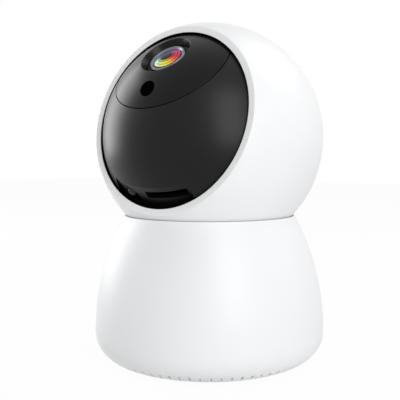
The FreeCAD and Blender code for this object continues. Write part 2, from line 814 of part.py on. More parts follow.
def below_level(name, drop):
    """Everything lower than a level plane under the head's centre, in the head frame."""
    reach = "3 * head_radius"
    depth = "1.5 * head_radius"
    slab = group(f"{name}_turned", [block(name, reach, reach, depth, z=f"-({drop}) - {depth}")])
    slab.Placement = FreeCAD.Placement(FreeCAD.Vector(), FreeCAD.Rotation(FreeCAD.Vector(1, 0, 0), -45))
    slab.setExpression("Placement.Rotation.Angle", linked("-(90 - opening_tilt)"))
    return slab


def make_head_shells():
    neck = below_level("under_rim", "rim_drop")
    dome = cut("front_dome", sphere("front_ball", "head_radius", low="-split_depth", high="opening_depth"),
               sphere("front_hollow", "head_inner"))
    boss_reach = "(sqrt(head_radius^2 - boss_radius^2) - head_wall / 2)"
    bosses = []
    seats = []
    for side, along, radius in ((1, "x", "shaft_radius"), (-1, "-x", "pivot_radius")):
        face = f"{side} * boss_face"
        length = f"{boss_reach} - boss_face"
        bosses.append(rod(f"axle_boss_{side + 1}", "boss_radius", length, face, along=along))
        seats.append(rod(f"axle_seat_{side + 1}", f"{radius} + fit_gap", "seat_depth", face, along=along))
    front = cut("head_shell_front", fuse("front_blank", dome, *bosses), neck, *seats)
    node(front, "head_shell_front", "head")

    rear_dome = cut("rear_dome", sphere("rear_ball", "head_radius", high="-split_depth"),
                    sphere("rear_hollow", "head_inner"))
    tongue_outer = "(head_inner - soft_gap)"
    tongue_inner = f"({tongue_outer} - tongue_wall)"
    tongue_low = "-split_depth - tongue_root"
    tongue = cut("rear_tongue",
                 sphere("tongue_ball", tongue_outer, low=tongue_low, high="-split_depth + tongue_depth"),
                 sphere("tongue_hollow", tongue_inner))
    root = cut("rear_tongue_root",
               sphere("tongue_root_ball", "head_inner + 0.3", low=tongue_low, high="-split_depth"),
               sphere("tongue_root_hollow", tongue_inner))
    above_lip = below_level("above_lip", "rim_drop - lip_height - 0.4")
    lip_room = common("lip_room", above_lip, sphere("lip_room_ball", "head_inner"))
    node(cut("head_shell_rear", fuse("rear_blank", rear_dome, tongue, root), neck, lip_room),
         "head_shell_rear", "head")

    trim_high = "(opening_depth - trim_setback)"
    trim_outer = "(head_inner - running_gap)"
    trim_ball = sphere("trim_ball", trim_outer, low=f"{trim_high} - trim_depth", high=trim_high)
    trim_hollow = sphere("trim_hollow", f"{trim_outer} - trim_wall")
    node(cut("opening_trim", trim_ball, trim_hollow, above_lip), "opening_trim", "head")


def make_axle_pins():
    shaft_start = "(boss_face + seat_depth - 0.6 - shaft_length)"
    shaft = rod("tilt_shaft_body", "shaft_radius", "shaft_length", shaft_start, along="x")
    node_of(shaft, "tilt_shaft", "head")
    pin_reach = "(boss_face + seat_depth - 0.2)"
    pin_length = f"{pin_reach} - (ball_flat - 3.6)"
    pin = rod("pivot_pin_body", "pivot_radius", pin_length, f"-{pin_reach}", along="x")
    node_of(pin, "pivot_pin", "head")


def make_ribbon():
    """Flat cable laid inside the turntable cup, from the spindle up to the pivot side."""
    ribbon_low = 0.08
    ribbon_high = 0.24
    ribbon_width = 7
    shell = cut("ribbon_shell", sphere("ribbon_ball", f"ball_radius + {ribbon_high}"),
                sphere("ribbon_hollow", f"ball_radius + {ribbon_low}"))
    strip = block("ribbon_strip", 33, ribbon_width, 34, -19.5, 0, "-ball_radius - 1")
    node(place(common("head_ribbon", shell, strip), z="head_height"), "head_ribbon")


# ---- camera ball: shells and window panel ----

ball_screw_spots = named_circle("(ball_inner - ball_boss_inset)", (58, 122, 238, 302))
post_x = "(board_half_width - board_hole_inset)"
post_y = "(board_half_height - board_hole_inset)"
board_spots = [
    ("a", f"-{post_x}", f"-{post_y}"),
    ("b", post_x, f"-{post_y}"),
    ("c", f"-{post_x}", post_y),
    ("d", post_x, post_y),
]
skin_overlap = "(ball_radius - 0.5)"


def side_planes(name, reach):
    """Slab that trims a ball part to flat sides."""
    return block(name, f"2 * {reach}", "3 * head_radius", "3 * head_radius", z="-1.5 * head_radius")


def ball_skin(name, low=None, high=None):
    """Hollow ball with flat sides, between two heights."""
    solid = common(f"{name}_flat", sphere(f"{name}_ball", "ball_radius", low, high),
                   side_planes(f"{name}_sides", "ball_flat"))
    hollow = common(f"{name}_hollow_flat", sphere(f"{name}_hollow", "ball_inner"),
                    side_planes(f"{name}_hollow_sides", "ball_side_wall"))
    return cut(f"{name}_skin", solid, hollow)


def within_ball(name, item, reach=skin_overlap):
    """The part of an item that lies inside a ball."""
    return common(f"{name}_in", item, sphere(f"{name}_limit", reach))


def recess_sector(name, radius, low, high, left, right):
    """Block under the lens axis, outside a cylinder about it."""
    slab = block(f"{name}_slab", f"{left} + {right}", 40, f"{high} - ({low})", f"({right} - {left}) / 2",
                 "-ball_radius + 2.5", low)
    core = rod(f"{name}_core", radius, "2 * head_radius", z="-head_radius")
    return cut(name, slab, core)


def make_front_shell():
    ledge_in = "panel_radius - panel_ledge"
    ledge_tube = ring("ledge_tube", ledge_in, "panel_radius + 2.5", 10, "head_radius + 10")
    ledge_ball = cut("ledge_shell", sphere("ledge_outer", "panel_under + 0.5"),
                     sphere("ledge_inner", "panel_under - ledge_wall"))
    backing = recess_sector("backing_sector", "recess_radius - base_wall", "-ball_split",
                            "recess_top + recess_backing", "(recess_left + recess_backing)",
                            "(recess_right + recess_backing)")
    scoop_back = rod("scoop_backing", "scoop_radius + 1.3", 4, "-scoop_side", "-scoop_floor + 2",
                     "scoop_rise", "-y")
    solids = [
        ball_skin("front_shell", low="-ball_split"),
        common("panel_ledge_ring", ledge_tube, ledge_ball),
        within_ball("backing", backing),
        within_ball("scoop", scoop_back),
    ]
    for name, x, y in ball_screw_spots:
        post = rod(f"front_boss_{name}", 2.7, "ball_split + 3", x, y, "-ball_split")
        solids.append(within_ball(f"front_boss_{name}", post))
    for name, x, y in board_spots:
        post = rod(f"board_post_{name}", 2.5, "ball_radius - 16.5", x, y, "main_board_top")
        solids.append(within_ball(f"board_post_{name}", post, "(ball_radius - 0.8)"))

    window_low = 15
    tools = [
        cut("panel_rebate", rod("rebate_rod", "panel_radius + panel_seam", "head_radius", z=window_low),
            sphere("rebate_floor", "panel_under - running_gap")),
        rod("panel_window", ledge_in, "head_radius", z=window_low),
        recess_sector("card_recess", "recess_radius", "recess_bottom", "recess_top", "recess_left",
                      "recess_right"),
        rod("button_scoop", "scoop_radius", 8, "-scoop_side", "-scoop_floor", "scoop_rise", "-y"),
        rod("button_hole", "button_radius + running_gap", 10, "-button_side", "-ball_radius + 9.5",
            "button_rise", "-y"),
        block("card_slot", "slot_left + slot_right", 14, "slot_high - slot_low",
              "(slot_right - slot_left) / 2", "-ball_radius + 0.5", "slot_low"),
        rod("motor_side_hole", "shaft_radius + 0.6", 8, "ball_flat - 4.5", along="x"),
        rod("pivot_side_hole", "pivot_radius + 1.5 + fit_gap", 8, "-ball_flat + 4.5", along="-x"),
    ]
    for name, y in tilt_ear_spots:
        tools.append(rod(f"tilt_tap_{name}", tap_radius, 1.8, "ball_side_wall - running_gap", y, along="x"))
    for name, x, y in ball_screw_spots:
        tools.append(rod(f"front_tap_{name}", tap_radius, 6.4, x, y, "-ball_split - 0.4"))
    for name, x, y in board_spots:
        tools.append(rod(f"post_tap_{name}", tap_radius, 6, x, y, "main_board_top - 0.1"))
    node(cut("ball_front_shell", fuse("front_shell_blank", *solids), *tools), "ball_front_shell", "ball")


def make_rear_shell():
    post_height = 20
    floor = "-ball_split - 4"
    solids = [ball_skin("rear_shell", high="-ball_split - running_gap")]
    tools = []
    for name, x, y in ball_screw_spots:
        post = rod(f"rear_boss_{name}", 2.9, post_height, x, y, f"-ball_split - running_gap - {post_height}")
        solids.append(within_ball(f"rear_boss_{name}", post))
        tools.append(rod(f"rear_hole_{name}", hole_radius, 30, x, y, -30))
        tools.append(rod(f"rear_sink_{name}", sink_radius, post_height, x, y, f"{floor} - {post_height}"))
    node(cut("ball_rear_shell", fuse("rear_shell_blank", *solids), *tools), "ball_rear_shell", "ball")
    screws_at("ball_screws", ball_screw_spots, f"{floor} - screw_head_depth", 10.5, frame="ball")


def make_window_panel():
    low = 15
    disc = common("panel_disc", sphere("panel_ball", "ball_radius"),
                  rod("panel_rod", "panel_radius", "head_radius", z=low))
    cap = cut("panel_cap", disc, sphere("panel_hollow", "panel_under"))
    well_low = "(recess_floor - recess_wall - 0.1)"
    well_height = f"panel_under - recess_wall - {well_low}"
    well = rod("lens_well", "recess_mouth + recess_wall", well_height, z=well_low)
    mouth_rise = "(sqrt(ball_radius^2 - recess_mouth^2) - recess_floor)"
    flare = "(recess_mouth - recess_floor_radius)"
    recess = new("Part::Cone", "lens_recess", Radius1="recess_floor_radius",
                 Radius2=f"recess_mouth + {flare} * 0.5", Height=f"{mouth_rise} * 1.5")
    place(recess, z="recess_floor")
    through = rod("barrel_hole", "barrel_radius + soft_gap", 20, z=25)
    dot = turn_below(rod("sensor_hole", "sensor_radius + running_gap", "head_radius - 30", z=30))
    node(cut("lens_panel", fuse("panel_blank", cap, well), recess, through, dot), "lens_panel", "ball")

    plug = turn_below(rod("sensor_plug", "sensor_radius", 10, z="panel_under - 1"))
    window = common("light_sensor_window", plug, sphere("sensor_front", "ball_radius - running_gap"))
    node(window, "light_sensor_window", "ball")


def turn_below(item):
    """Swing a rod that stands on the lens axis down to the light sensor, about local X."""
    holder = group(f"{item.Name}_swung", [item])
    holder.Placement = FreeCAD.Placement(FreeCAD.Vector(), FreeCAD.Rotation(FreeCAD.Vector(1, 0, 0), 45))
    holder.setExpression("Placement.Rotation.Angle", linked("sensor_angle"))
    return holder


# ---- camera ball: lens, boards, motor and small parts ----

def make_lens():
    seat = "glass_radius + running_gap"
    stop = "glass_radius - 0.6"
    seat_low = "barrel_front - 1.6"
    barrel = turned("lens_barrel", [
        (stop, "barrel_back"),
        ("barrel_radius", "barrel_back"),
        ("barrel_radius", "barrel_front - 0.4"),
        ("barrel_radius - 0.4", "barrel_front"),
        ("glass_radius + 0.5", "barrel_front"),
        (seat, "barrel_front - 0.5"),
        (seat, seat_low),
        (stop, seat_low),
    ])
    node(barrel, "lens_barrel", "ball")
    glass_low = "(barrel_front - 1.55)"
    glass = turned("lens_glass", [
        (0, glass_low),
        ("glass_radius", glass_low),
        ("glass_radius", f"{glass_low} + glass_edge"),
        (0, f"{glass_low} + glass_edge + glass_bulge",
         "(glass_radius^2 + glass_bulge^2) / (2 * glass_bulge)"),
    ])
    node(glass, "lens_glass", "ball")
    rear_radius = "(glass_radius - 0.65)"
    rear_low = "(barrel_back + 2)"
    rear = turned("rear_lens", [
        (0, rear_low),
        (rear_radius, rear_low),
        (rear_radius, f"{rear_low} + rear_lens_thickness"),
        (0, f"{rear_low} + rear_lens_thickness + rear_lens_bulge",
         f"({rear_radius}^2 + rear_lens_bulge^2) / (2 * rear_lens_bulge)"),
    ])
    node(rear, "rear_lens", "ball")

    body_side = 14
    cavity_side = 10.4
    body = block("holder_body", body_side, body_side, "22 - main_board_top", z="main_board_top")
    cavity = block("holder_cavity", cavity_side, cavity_side, 2.4, z="main_board_top - 0.1")
    bore = rod("holder_bore", "barrel_radius + fit_gap", 10, z="barrel_back - 0.1")
    light_path = rod("holder_light_path", 4.4, 10, z="main_board_top")
    node(cut("lens_holder", body, cavity, bore, light_path), "lens_holder", "ball")
    chip_side = 8
    chip = block("image_sensor_body", chip_side, chip_side, 1.2, z="main_board_top")
    node_of(chip, "image_sensor", "ball")


def make_boards():
    plate = block("main_board_plate", "2 * board_half_width", "2 * board_half_height", "board_thickness",
                  z="main_board_low")
    holes = [rod(f"main_board_hole_{name}", hole_radius, 5, x, y, "main_board_low - 1")
             for name, x, y in board_spots]
    node(cut("main_board", plate, *holes), "main_board", "ball")
    screws_at("board_screws", board_spots, "main_board_low - screw_head_depth", 7.5, frame="ball")
    chips = [
        block("processor_chip", 9, 9, 1.3, -14, 2, "main_board_top"),
        block("memory_chip", 6, 8, 1.1, 13, 3, "main_board_top"),
        block("radio_can", 10, 7, 1.8, -2, 14, "main_board_top"),
        block("motor_header", 8, 4, 3.2, 13, -9, "main_board_top"),
    ]
    node(group("main_board_chips", chips), "main_board_chips", "ball")
    microphone = rod("microphone_body", 2, 2.2, -13.5, 13, "main_board_top")
    node_of(microphone, "microphone", "ball")

    plate = ring("infrared_board", "barrel_radius + 2.5", "light_board_radius", "light_board_low",
                 "light_board_top")
    node(plate, "infrared_board", "ball")
    lamp_pitch = 45
    lamp_angles = [turn + lamp_pitch / 2 for turn in range(0, 360, lamp_pitch)]
    lamps = [rod(f"infrared_lamp_{int(name)}", 1.5, 3.4, x, y, "light_board_top")
             for name, x, y in named_circle("lamp_circle", lamp_angles)]
    node(group("infrared_lamps", lamps), "infrared_lamps", "ball")
    header = block("light_header_body", 6, 4, "light_board_low - main_board_top", 0, -15, "main_board_top")
    node_of(header, "light_header", "ball")


def make_card_reader():
    plate = block("card_board_body", 28, 15.5, "card_board_thickness", -1.5, "-ball_radius + 17.3",
                  "card_board_low")
    node_of(plate, "card_board", "ball")
    header = block("card_header_body", 8, 3, "main_board_low - card_board_top", -6, "-ball_radius + 22.5",
                   "card_board_top")
    node_of(header, "card_header", "ball")
    middle = "(slot_right - slot_left) / 2"
    can = block("card_can", 13.6, 14.6, "card_board_low - slot_low + 0.1", middle, "-ball_radius + 16.1",
                "slot_low - 0.1")
    mouth = block("card_mouth", 11.4, 14.2, 1.1, middle, "-ball_radius + 15.5", "slot_low + 0.5")
    node(cut("card_socket", can, mouth), "card_socket", "ball")
    switch_low = "(button_rise - 2)"
    body = block("reset_switch_body", 4.4, 3.2, f"card_board_low - {switch_low}", "-button_side",
                 "-ball_radius + 11.2", switch_low)
    node_of(body, "reset_switch", "ball")


def make_reset_button():
    stem_end = "(button_length - button_front)"
    stem = rod("button_stem", "button_radius", "button_length", "-button_side", stem_end, "button_rise", "-y")
    flange = rod("button_flange", "button_radius + 0.8", "button_flange", "-button_side",
                 f"{stem_end} - 0.3", "button_rise", "-y")
    node(fuse("reset_button", stem, flange), "reset_button", "ball")


tilt_ear_spots = [("front", "-tilt_ear_span"), ("back", "tilt_ear_span")]


def make_tilt_motor():
    ear_width = 6
    ear_thickness = 0.9
    can = rod("tilt_motor_can", "tilt_motor_radius", "tilt_motor_length - 0.1",
              "ball_side_wall - tilt_motor_length", along="x")
    ears = block("tilt_motor_ears", ear_thickness, "2 * tilt_ear_span + 5", ear_width,
                 "ball_side_wall - 0.55", 0, -ear_width / 2)
    tools = [rod("tilt_motor_bore", "shaft_radius + running_gap", 20, "ball_side_wall - 12", along="x")]
    screws = []
    for name, y in tilt_ear_spots:
        tools.append(rod(f"tilt_ear_hole_{name}", hole_radius, 4, "ball_side_wall - 2", y, along="x"))
        screws.append(screw(f"tilt_screw_{name}", "ball_side_wall - 1 - screw_head_depth", y, 0, 3.8, "x"))
    node(cut("tilt_motor", fuse("tilt_motor_blank", can, ears), *tools), "tilt_motor", "ball")
    node(group("tilt_motor_screws", screws), "tilt_motor_screws", "ball")

    bush_bore = "pivot_radius + running_gap"
    bush_length = 3.4
    body = turned("pivot_bush_body", [
        (bush_bore, 0),
        ("pivot_radius + 3", 0),
        ("pivot_radius + 3", 1),
        ("pivot_radius + 1.5", 1),
        ("pivot_radius + 1.5", bush_length),
        (bush_bore, bush_length),
    ])
    body.Placement.Rotation = turns["-x"]
    place(body, "-ball_side_wall + 1")
    node_of(body, "pivot_bush", "ball")

    patch = cut("antenna_shell", sphere("antenna_outer", "ball_inner - soft_gap"),
                sphere("antenna_inner", "ball_inner - soft_gap - 0.4"))
    strip = block("antenna_strip", 26, 8, 30, 0, 6, "-ball_radius")
    node(common("radio_antenna", patch, strip), "radio_antenna", "ball")


make_base_shell()
make_bottom_cover()
make_foot_and_tripod()
make_deck_and_motor()
make_speaker()
make_power_board()
make_harness()
make_pan_drive()
make_turntable()
make_head_shells()
make_axle_pins()
make_ribbon()
make_front_shell()
make_rear_shell()
make_window_panel()
make_lens()
make_boards()
make_card_reader()
make_reset_button()
make_tilt_motor()

doc.recompute()
for item in doc.Objects:
    if {"Invalid", "Error"} & set(item.State):
        raise RuntimeError(f"{item.Label} failed to recompute")
for item in nodes:
    if item.Shape.isNull() or not item.Shape.isValid():
        raise RuntimeError(f"{item.Label} has no valid shape")
for item in nodes:
    item.Shape.exportStep(f"parts/{item.Label}.step")
    print(item.Label, len(item.Shape.Solids), round(item.Shape.Volume, 1))
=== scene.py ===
import json
import math

import bmesh
import bpy
import numpy as np
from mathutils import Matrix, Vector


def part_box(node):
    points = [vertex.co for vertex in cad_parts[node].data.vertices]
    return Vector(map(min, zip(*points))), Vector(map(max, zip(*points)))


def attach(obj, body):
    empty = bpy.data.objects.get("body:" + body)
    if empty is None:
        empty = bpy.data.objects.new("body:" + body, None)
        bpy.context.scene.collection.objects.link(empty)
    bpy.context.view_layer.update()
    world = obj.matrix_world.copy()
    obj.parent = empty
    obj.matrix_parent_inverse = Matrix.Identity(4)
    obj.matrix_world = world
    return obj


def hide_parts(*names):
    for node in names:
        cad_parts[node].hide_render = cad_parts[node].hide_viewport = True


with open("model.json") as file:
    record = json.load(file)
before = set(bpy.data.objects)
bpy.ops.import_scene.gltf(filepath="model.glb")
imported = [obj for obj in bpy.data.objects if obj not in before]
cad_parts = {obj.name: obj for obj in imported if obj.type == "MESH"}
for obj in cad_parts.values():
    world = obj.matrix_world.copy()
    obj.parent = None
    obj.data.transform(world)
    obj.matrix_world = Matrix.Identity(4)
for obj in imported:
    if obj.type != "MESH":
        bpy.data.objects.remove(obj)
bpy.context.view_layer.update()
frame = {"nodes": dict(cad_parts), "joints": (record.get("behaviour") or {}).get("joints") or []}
nodes = frame["nodes"]
joints = {joint["name"]: joint for joint in frame["joints"]}
print("frame loaded:", len(nodes), "parts")

mm = 0.001                                        # shapes are written in millimetres
centre = np.array(joints["tilt"]["pos_m"]) / mm   # middle of the round head
sharpFrom = 35                                    # degrees at which an edge stays sharp


# three frames share the head's middle: the world's, the opening's and the lens's

def tiltedFrame(elevation):
    # columns are local X, Y and Z; local Z leaves the head towards -Y, raised by the elevation
    a = math.radians(elevation)
    return np.array([[1, 0, 0],
                     [0, math.sin(a), -math.cos(a)],
                     [0, math.cos(a), math.sin(a)]])


angles = {"opening": 13.8, "lens": 46.5}   # degrees above level
worldTurn = np.eye(3)
openingTurn = tiltedFrame(angles["opening"])
lensTurn = tiltedFrame(angles["lens"])
origin = np.zeros(3)


def toWorld(points, turn, start=centre):
    return points @ turn.T + start


# flat outlines: radius across, height up, anticlockwise round the material

def roundArc(middle, radius, first, last, count):
    # radius * (cos a, sin a) about the middle, without its two ends, which are corners of the outline
    a = np.radians(np.linspace(first, last, count + 2)[1:-1])
    return np.stack([middle[0] + radius * np.cos(a), middle[1] + radius * np.sin(a)], axis=1)


def outline(*parts, steps=4):
    # a part is a corner (across, up, rounding) or an array of smooth points; a rounded corner becomes
    # (1 - t)^2 * shoulder + 2 t (1 - t) * corner + t^2 * shoulder, with a point held beyond each shoulder
    spots, roundings = [], []
    for part in parts:
        if isinstance(part, tuple):
            spots.append(part[:2])
            roundings.append(part[2])
        else:
            spots.extend(part)
            roundings.extend([0] * len(part))
    spots = np.array(spots, float)
    t = np.linspace(0, 1, steps + 1)[:, None]
    path = []
    for index, rounding in enumerate(roundings):
        spot = spots[index]
        if rounding == 0:
            path.append(spot[None])
            continue
        back = spots[index - 1] - spot
        ahead = spots[(index + 1) % len(spots)] - spot
        backLength, aheadLength = np.linalg.norm(back), np.linalg.norm(ahead)
        back, ahead = back / backLength, ahead / aheadLength
        half = math.acos(np.clip(back @ ahead, -1, 1)) / 2
        reach = min(rounding / math.tan(half), 0.4 * backLength, 0.4 * aheadLength)
        low, high = spot + back * reach, spot + ahead * reach
        curve = (1 - t) ** 2 * low + 2 * t * (1 - t) * spot + t ** 2 * high
        path.append(np.concatenate([[low + back * 0.25 * reach], curve, [high + ahead * 0.25 * reach]]))
    return np.concatenate(path)


# grids of points and the faces between them

def turnedGrid(profile, turns):
    # the outline's point (r, h) at the turn a stands at (r cos a, r sin a, h)
    r, h = profile[:, 0][:, None], profile[:, 1][:, None]
    return np.stack([r * np.cos(turns), r * np.sin(turns), h + 0 * turns], axis=-1)


def gridFaces(rows, columns, closed=True):
    # a face joins a point, its neighbour round the axis and the two above them
    i = np.arange(rows if closed else rows - 1)[:, None]
    j = np.arange(columns)[None, :]
    here, above = i * columns, (i + 1) % rows * columns
    beside = (j + 1) % columns
    return np.stack([here + j, here + beside, above + beside, above + j], axis=-1)


def fullTurn(count):
    return np.linspace(0, 2 * math.pi, count, endpoint=False)


def solidMesh(name, points, faces):
    # points that meet are welded; a face with two equal corners becomes a triangle
    spots, links = np.unique(np.round(points.reshape(-1, 3), 4), axis=0, return_inverse=True)
    faces = links.reshape(-1)[faces.reshape(-1, 4)]
    same = faces == np.roll(faces, -1, axis=1)
    doubled = same.sum(axis=1)
    quads, thin = faces[doubled == 0], faces[doubled == 1]
    kept = (np.argmax(same[doubled == 1], axis=1)[:, None] + np.arange(1, 4)) % 4
    triangles = np.take_along_axis(thin, kept, axis=1)
    corners = np.concatenate([quads.ravel(), triangles.ravel()]).astype(np.int32)
    starts = np.concatenate([np.arange(len(quads)) * 4, quads.size + np.arange(len(triangles)) * 3])
    mesh = bpy.data.meshes.new(name)
    mesh.vertices.add(len(spots))
    mesh.vertices.foreach_set("co", (spots * mm).astype(np.float32).ravel())
    mesh.loops.add(len(corners))
    mesh.loops.foreach_set("vertex_index", corners)
    mesh.polygons.add(len(starts))
    mesh.polygons.foreach_set("loop_start", starts.astype(np.int32))
    mesh.update(calc_edges=True)
    smoothed(mesh)
    return mesh


def smoothed(mesh):
    mesh.shade_smooth()
    mesh.set_sharp_from_angle(angle=math.radians(sharpFrom))


def turnedMesh(name, profile, columns, turn, start=centre, closed=True):
    points = turnedGrid(profile, fullTurn(columns))
    return solidMesh(name, toWorld(points, turn, start), gridFaces(len(profile), columns, closed))


def levelCut(mesh, height):
    # everything under a level plane goes, and the cut is filled
    work = bmesh.new()
    work.from_mesh(mesh)
    everything = work.verts[:] + work.edges[:] + work.faces[:]
    cut = bmesh.ops.bisect_plane(work, geom=everything, plane_co=(0, 0, height * mm),
                                 plane_no=(0, 0, -1), clear_outer=True)
    edges = [item for item in cut["geom_cut"] if isinstance(item, bmesh.types.BMEdge)]
    bmesh.ops.triangle_fill(work, use_beauty=True, edges=edges, normal=(0, 0, -1))
    work.to_mesh(mesh)
    work.free()
    smoothed(mesh)


def carve(mesh, cutter):
    # the cutter's volume is taken out of the mesh
    things = [bpy.data.objects.new(item.name, item) for item in (mesh, cutter)]
    for thing in things:
        bpy.context.scene.collection.objects.link(thing)
    cut = things[0].modifiers.new("carve", "BOOLEAN")
    cut.operation = "DIFFERENCE"
    cut.solver = "EXACT"
    cut.object = things[1]
    graph = bpy.context.evaluated_depsgraph_get()
    result = bpy.data.meshes.new_from_object(things[0].evaluated_get(graph))
    name = mesh.name
    for thing in things:
        bpy.data.objects.remove(thing)
    bpy.data.meshes.remove(mesh)
    bpy.data.meshes.remove(cutter)
    result.name = name
    smoothed(result)
    return result


def joined(name, meshes):
    # several closed skins in one mesh
    work = bmesh.new()
    for mesh in meshes:
        work.from_mesh(mesh)
        bpy.data.meshes.remove(mesh)
    result = bpy.data.meshes.new(name)
    work.to_mesh(result)
    work.free()
    smoothed(result)
    return result


def fit(mesh, body, slot, *replaced):
    # the piece takes its place on a body and stands for the plain parts
    piece = bpy.data.objects.new(mesh.name, mesh)
    bpy.context.scene.collection.objects.link(piece)
    mesh.materials.clear()
    mesh.materials.append(finishes[slot])
    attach(piece, body)
    if replaced:
        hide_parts(*replaced)
    print("piece:", piece.name, len(mesh.polygons), "faces")


# finishes

def srgb(red, green, blue):
    # a colour as it looks on screen, turned into the linear one that shaders take
    shade = np.array([red, green, blue]) / 255
    return tuple(np.where(shade <= 0.04045, shade / 12.92, ((shade + 0.055) / 1.055) ** 2.4))


def opaque(colour, factor=1.0):
    return (*(channel * factor for channel in colour), 1.0)


class Value:
    # wraps a socket, so that sums and products of values become Math nodes

    def __init__(self, finish, socket):
        self.finish = finish
        self.socket = socket

    def maths(self, operation, first, second=0.0):
        return self.finish.add("ShaderNodeMath", {"operation": operation}, {0: first, 1: second})

    def __add__(self, other):
        return self.maths("ADD", self, other)

    def __radd__(self, other):
        return self.maths("ADD", other, self)

    def __sub__(self, other):
        return self.maths("SUBTRACT", self, other)

    def __rsub__(self, other):
        return self.maths("SUBTRACT", other, self)

    def __mul__(self, other):
        return self.maths("MULTIPLY", self, other)

    def __rmul__(self, other):
        return self.maths("MULTIPLY", other, self)

    def __truediv__(self, other):
        return self.maths("DIVIDE", self, other)

    def __pow__(self, other):
        return self.maths("POWER", self, other)

    def __gt__(self, other):
        return self.maths("GREATER_THAN", self, other)

    def __lt__(self, other):
        return self.maths("LESS_THAN", self, other)

    def root(self):
        return self.maths("SQRT", self)

    def sine(self):
        return self.maths("SINE", self)

    def bearing(self, across):
        return self.maths("ARCTAN2", self, across)

    def limited(self):
        return self.maths("MINIMUM", self.maths("MAXIMUM", self, 0.0), 1.0)


class Finish:
    # one material, its shader and the nodes that feed it

    def __init__(self, name, **constants):
        self.material = bpy.data.materials.new(name)
        self.material.use_nodes = True
        self.tree = self.material.node_tree
        self.shader = self.tree.nodes["Principled BSDF"]
        for word, value in constants.items():
            self.shader.inputs[word.replace("_", " ")].default_value = value

    def add(self, kind, settings, inputs, output=0):
        node = self.tree.nodes.new(kind)
        for word, value in settings.items():
            if word == "stops":
                fillRamp(node.color_ramp, value)
            else:
                setattr(node, word, value)
        for key, value in inputs.items():
            if isinstance(value, Value):
                self.tree.links.new(value.socket, node.inputs[key])
            else:
                node.inputs[key].default_value = value
        return Value(self, node.outputs[output])

    def feed(self, socket, value):
        self.tree.links.new(value.socket, self.shader.inputs[socket])

    # the nodes that most finishes share

    def place(self):
        return self.add("ShaderNodeTexCoord", {}, {}, "Object")

    def noise(self, scale, detail=2.0, where=None, rough=0.5):
        inputs = {"Vector": where or self.place(), "Scale": scale, "Detail": detail, "Roughness": rough}
        return self.add("ShaderNodeTexNoise", {}, inputs, 0)

    def cells(self, scale, feature="F1", where=None):
        inputs = {"Vector": where or self.place(), "Scale": scale}
        return self.add("ShaderNodeTexVoronoi", {"feature": feature}, inputs, "Distance")

    def along(self, direction, start=origin):
        # distance in millimetres from a point, measured along a direction
        offset = self.add("ShaderNodeVectorMath", {"operation": "SUBTRACT"},
                          {0: self.place(), 1: tuple(start * mm)})
        aligned = self.add("ShaderNodeVectorMath", {"operation": "DOT_PRODUCT"},
                           {0: offset, 1: tuple(direction)}, "Value")
        return aligned * 1000.0

    def remap(self, value, low, high, newLow, newHigh):
        inputs = {"Value": value, "From Min": low, "From Max": high, "To Min": newLow, "To Max": newHigh}
        return self.add("ShaderNodeMapRange", {}, inputs)

    def blend(self, factor, first, second):
        return self.add("ShaderNodeMix", {"data_type": "RGBA"}, {0: factor, 6: first, 7: second}, 2)

    def bump(self, height, distance, strength=1.0):
        inputs = {"Height": height, "Distance": distance, "Strength": strength}
        self.feed("Normal", self.add("ShaderNodeBump", {}, inputs))


def fillRamp(ramp, stops):
    while len(ramp.elements) < len(stops):
        ramp.elements.new(0.5)
    for element, (spot, colour) in zip(ramp.elements, stops):
        element.position = spot
        element.color = colour


def mouldedPlastic(name, colour, roughness, grain=0.000006, spread=0.02, **constants):
    # slow flow marks in colour and gloss, and the mould's fine spark texture as a bump
    flowScale, sparkScale, glossSpread = 38, 2600, 0.03
    finish = Finish(name, **constants)
    flow = finish.noise(flowScale, 3)
    finish.feed("Base Color", finish.blend(flow, opaque(colour, 1 - spread), opaque(colour, 1 + spread)))
    finish.feed("Roughness", finish.remap(flow, 0.3, 0.7, roughness - glossSpread, roughness + glossSpread))
    finish.bump(finish.noise(sparkScale, 2), grain)
    return finish.material


def turnedMetal(name, colour, roughness, turn=worldTurn, start=origin, lines=9.0):
    # lathe lines: rings of noise about the part's axis
    finish = Finish(name, Metallic=1.0)
    across, up = finish.along(turn[:, 0], start), finish.along(turn[:, 1], start)
    ring = (across * across + up * up).root() + finish.along(turn[:, 2], start)
    lathe = finish.add("ShaderNodeTexNoise", {"noise_dimensions": "1D"},
                       {"W": ring, "Scale": lines, "Detail": 2.0})
    flow = finish.noise(120, 3)
    finish.feed("Base Color", finish.blend(flow, opaque(colour, 0.88), opaque(colour)))
    finish.feed("Roughness", finish.remap(lathe, 0.3, 0.7, roughness - 0.06, roughness + 0.08))
    finish.bump(lathe, 0.000006)
    return finish.material


def platedMetal(name, colour, roughness, spangle=260.0):
    # zinc or nickel plating: crystal spangle in gloss, faint handling smudges in colour
    finish = Finish(name, Metallic=1.0)
    spots = finish.cells(spangle)
    smudge = finish.noise(90, 4)
    finish.feed("Base Color", finish.blend(smudge, opaque(colour, 0.82), opaque(colour)))
    finish.feed("Roughness", finish.remap(spots, 0.0, 1.0, roughness - 0.08, roughness + 0.12))
    finish.bump(smudge, 0.00001)
    return finish.material


def boardMask(name, mask, copper):
    # solder mask with copper runs just under it, on a half millimetre grid, and a few via pads
    finish = Finish(name, Coat_Weight=0.4, Coat_Roughness=0.2)
    run = finish.add("ShaderNodeTexBrick", {"offset": 0.37, "squash": 0.6},
                     {"Vector": finish.place(), "Color1": opaque(mask), "Color2": opaque(mask, 0.8),
                      "Mortar": opaque(copper), "Scale": 260.0, "Mortar Size": 0.018})
    via = finish.cells(420) < 0.16
    finish.feed("Base Color", finish.blend(via, run, opaque(copper, 1.5)))
    finish.feed("Roughness", finish.remap(finish.noise(500, 2), 0.3, 0.7, 0.28, 0.42))
    finish.bump(via, 0.00002)
    return finish.material


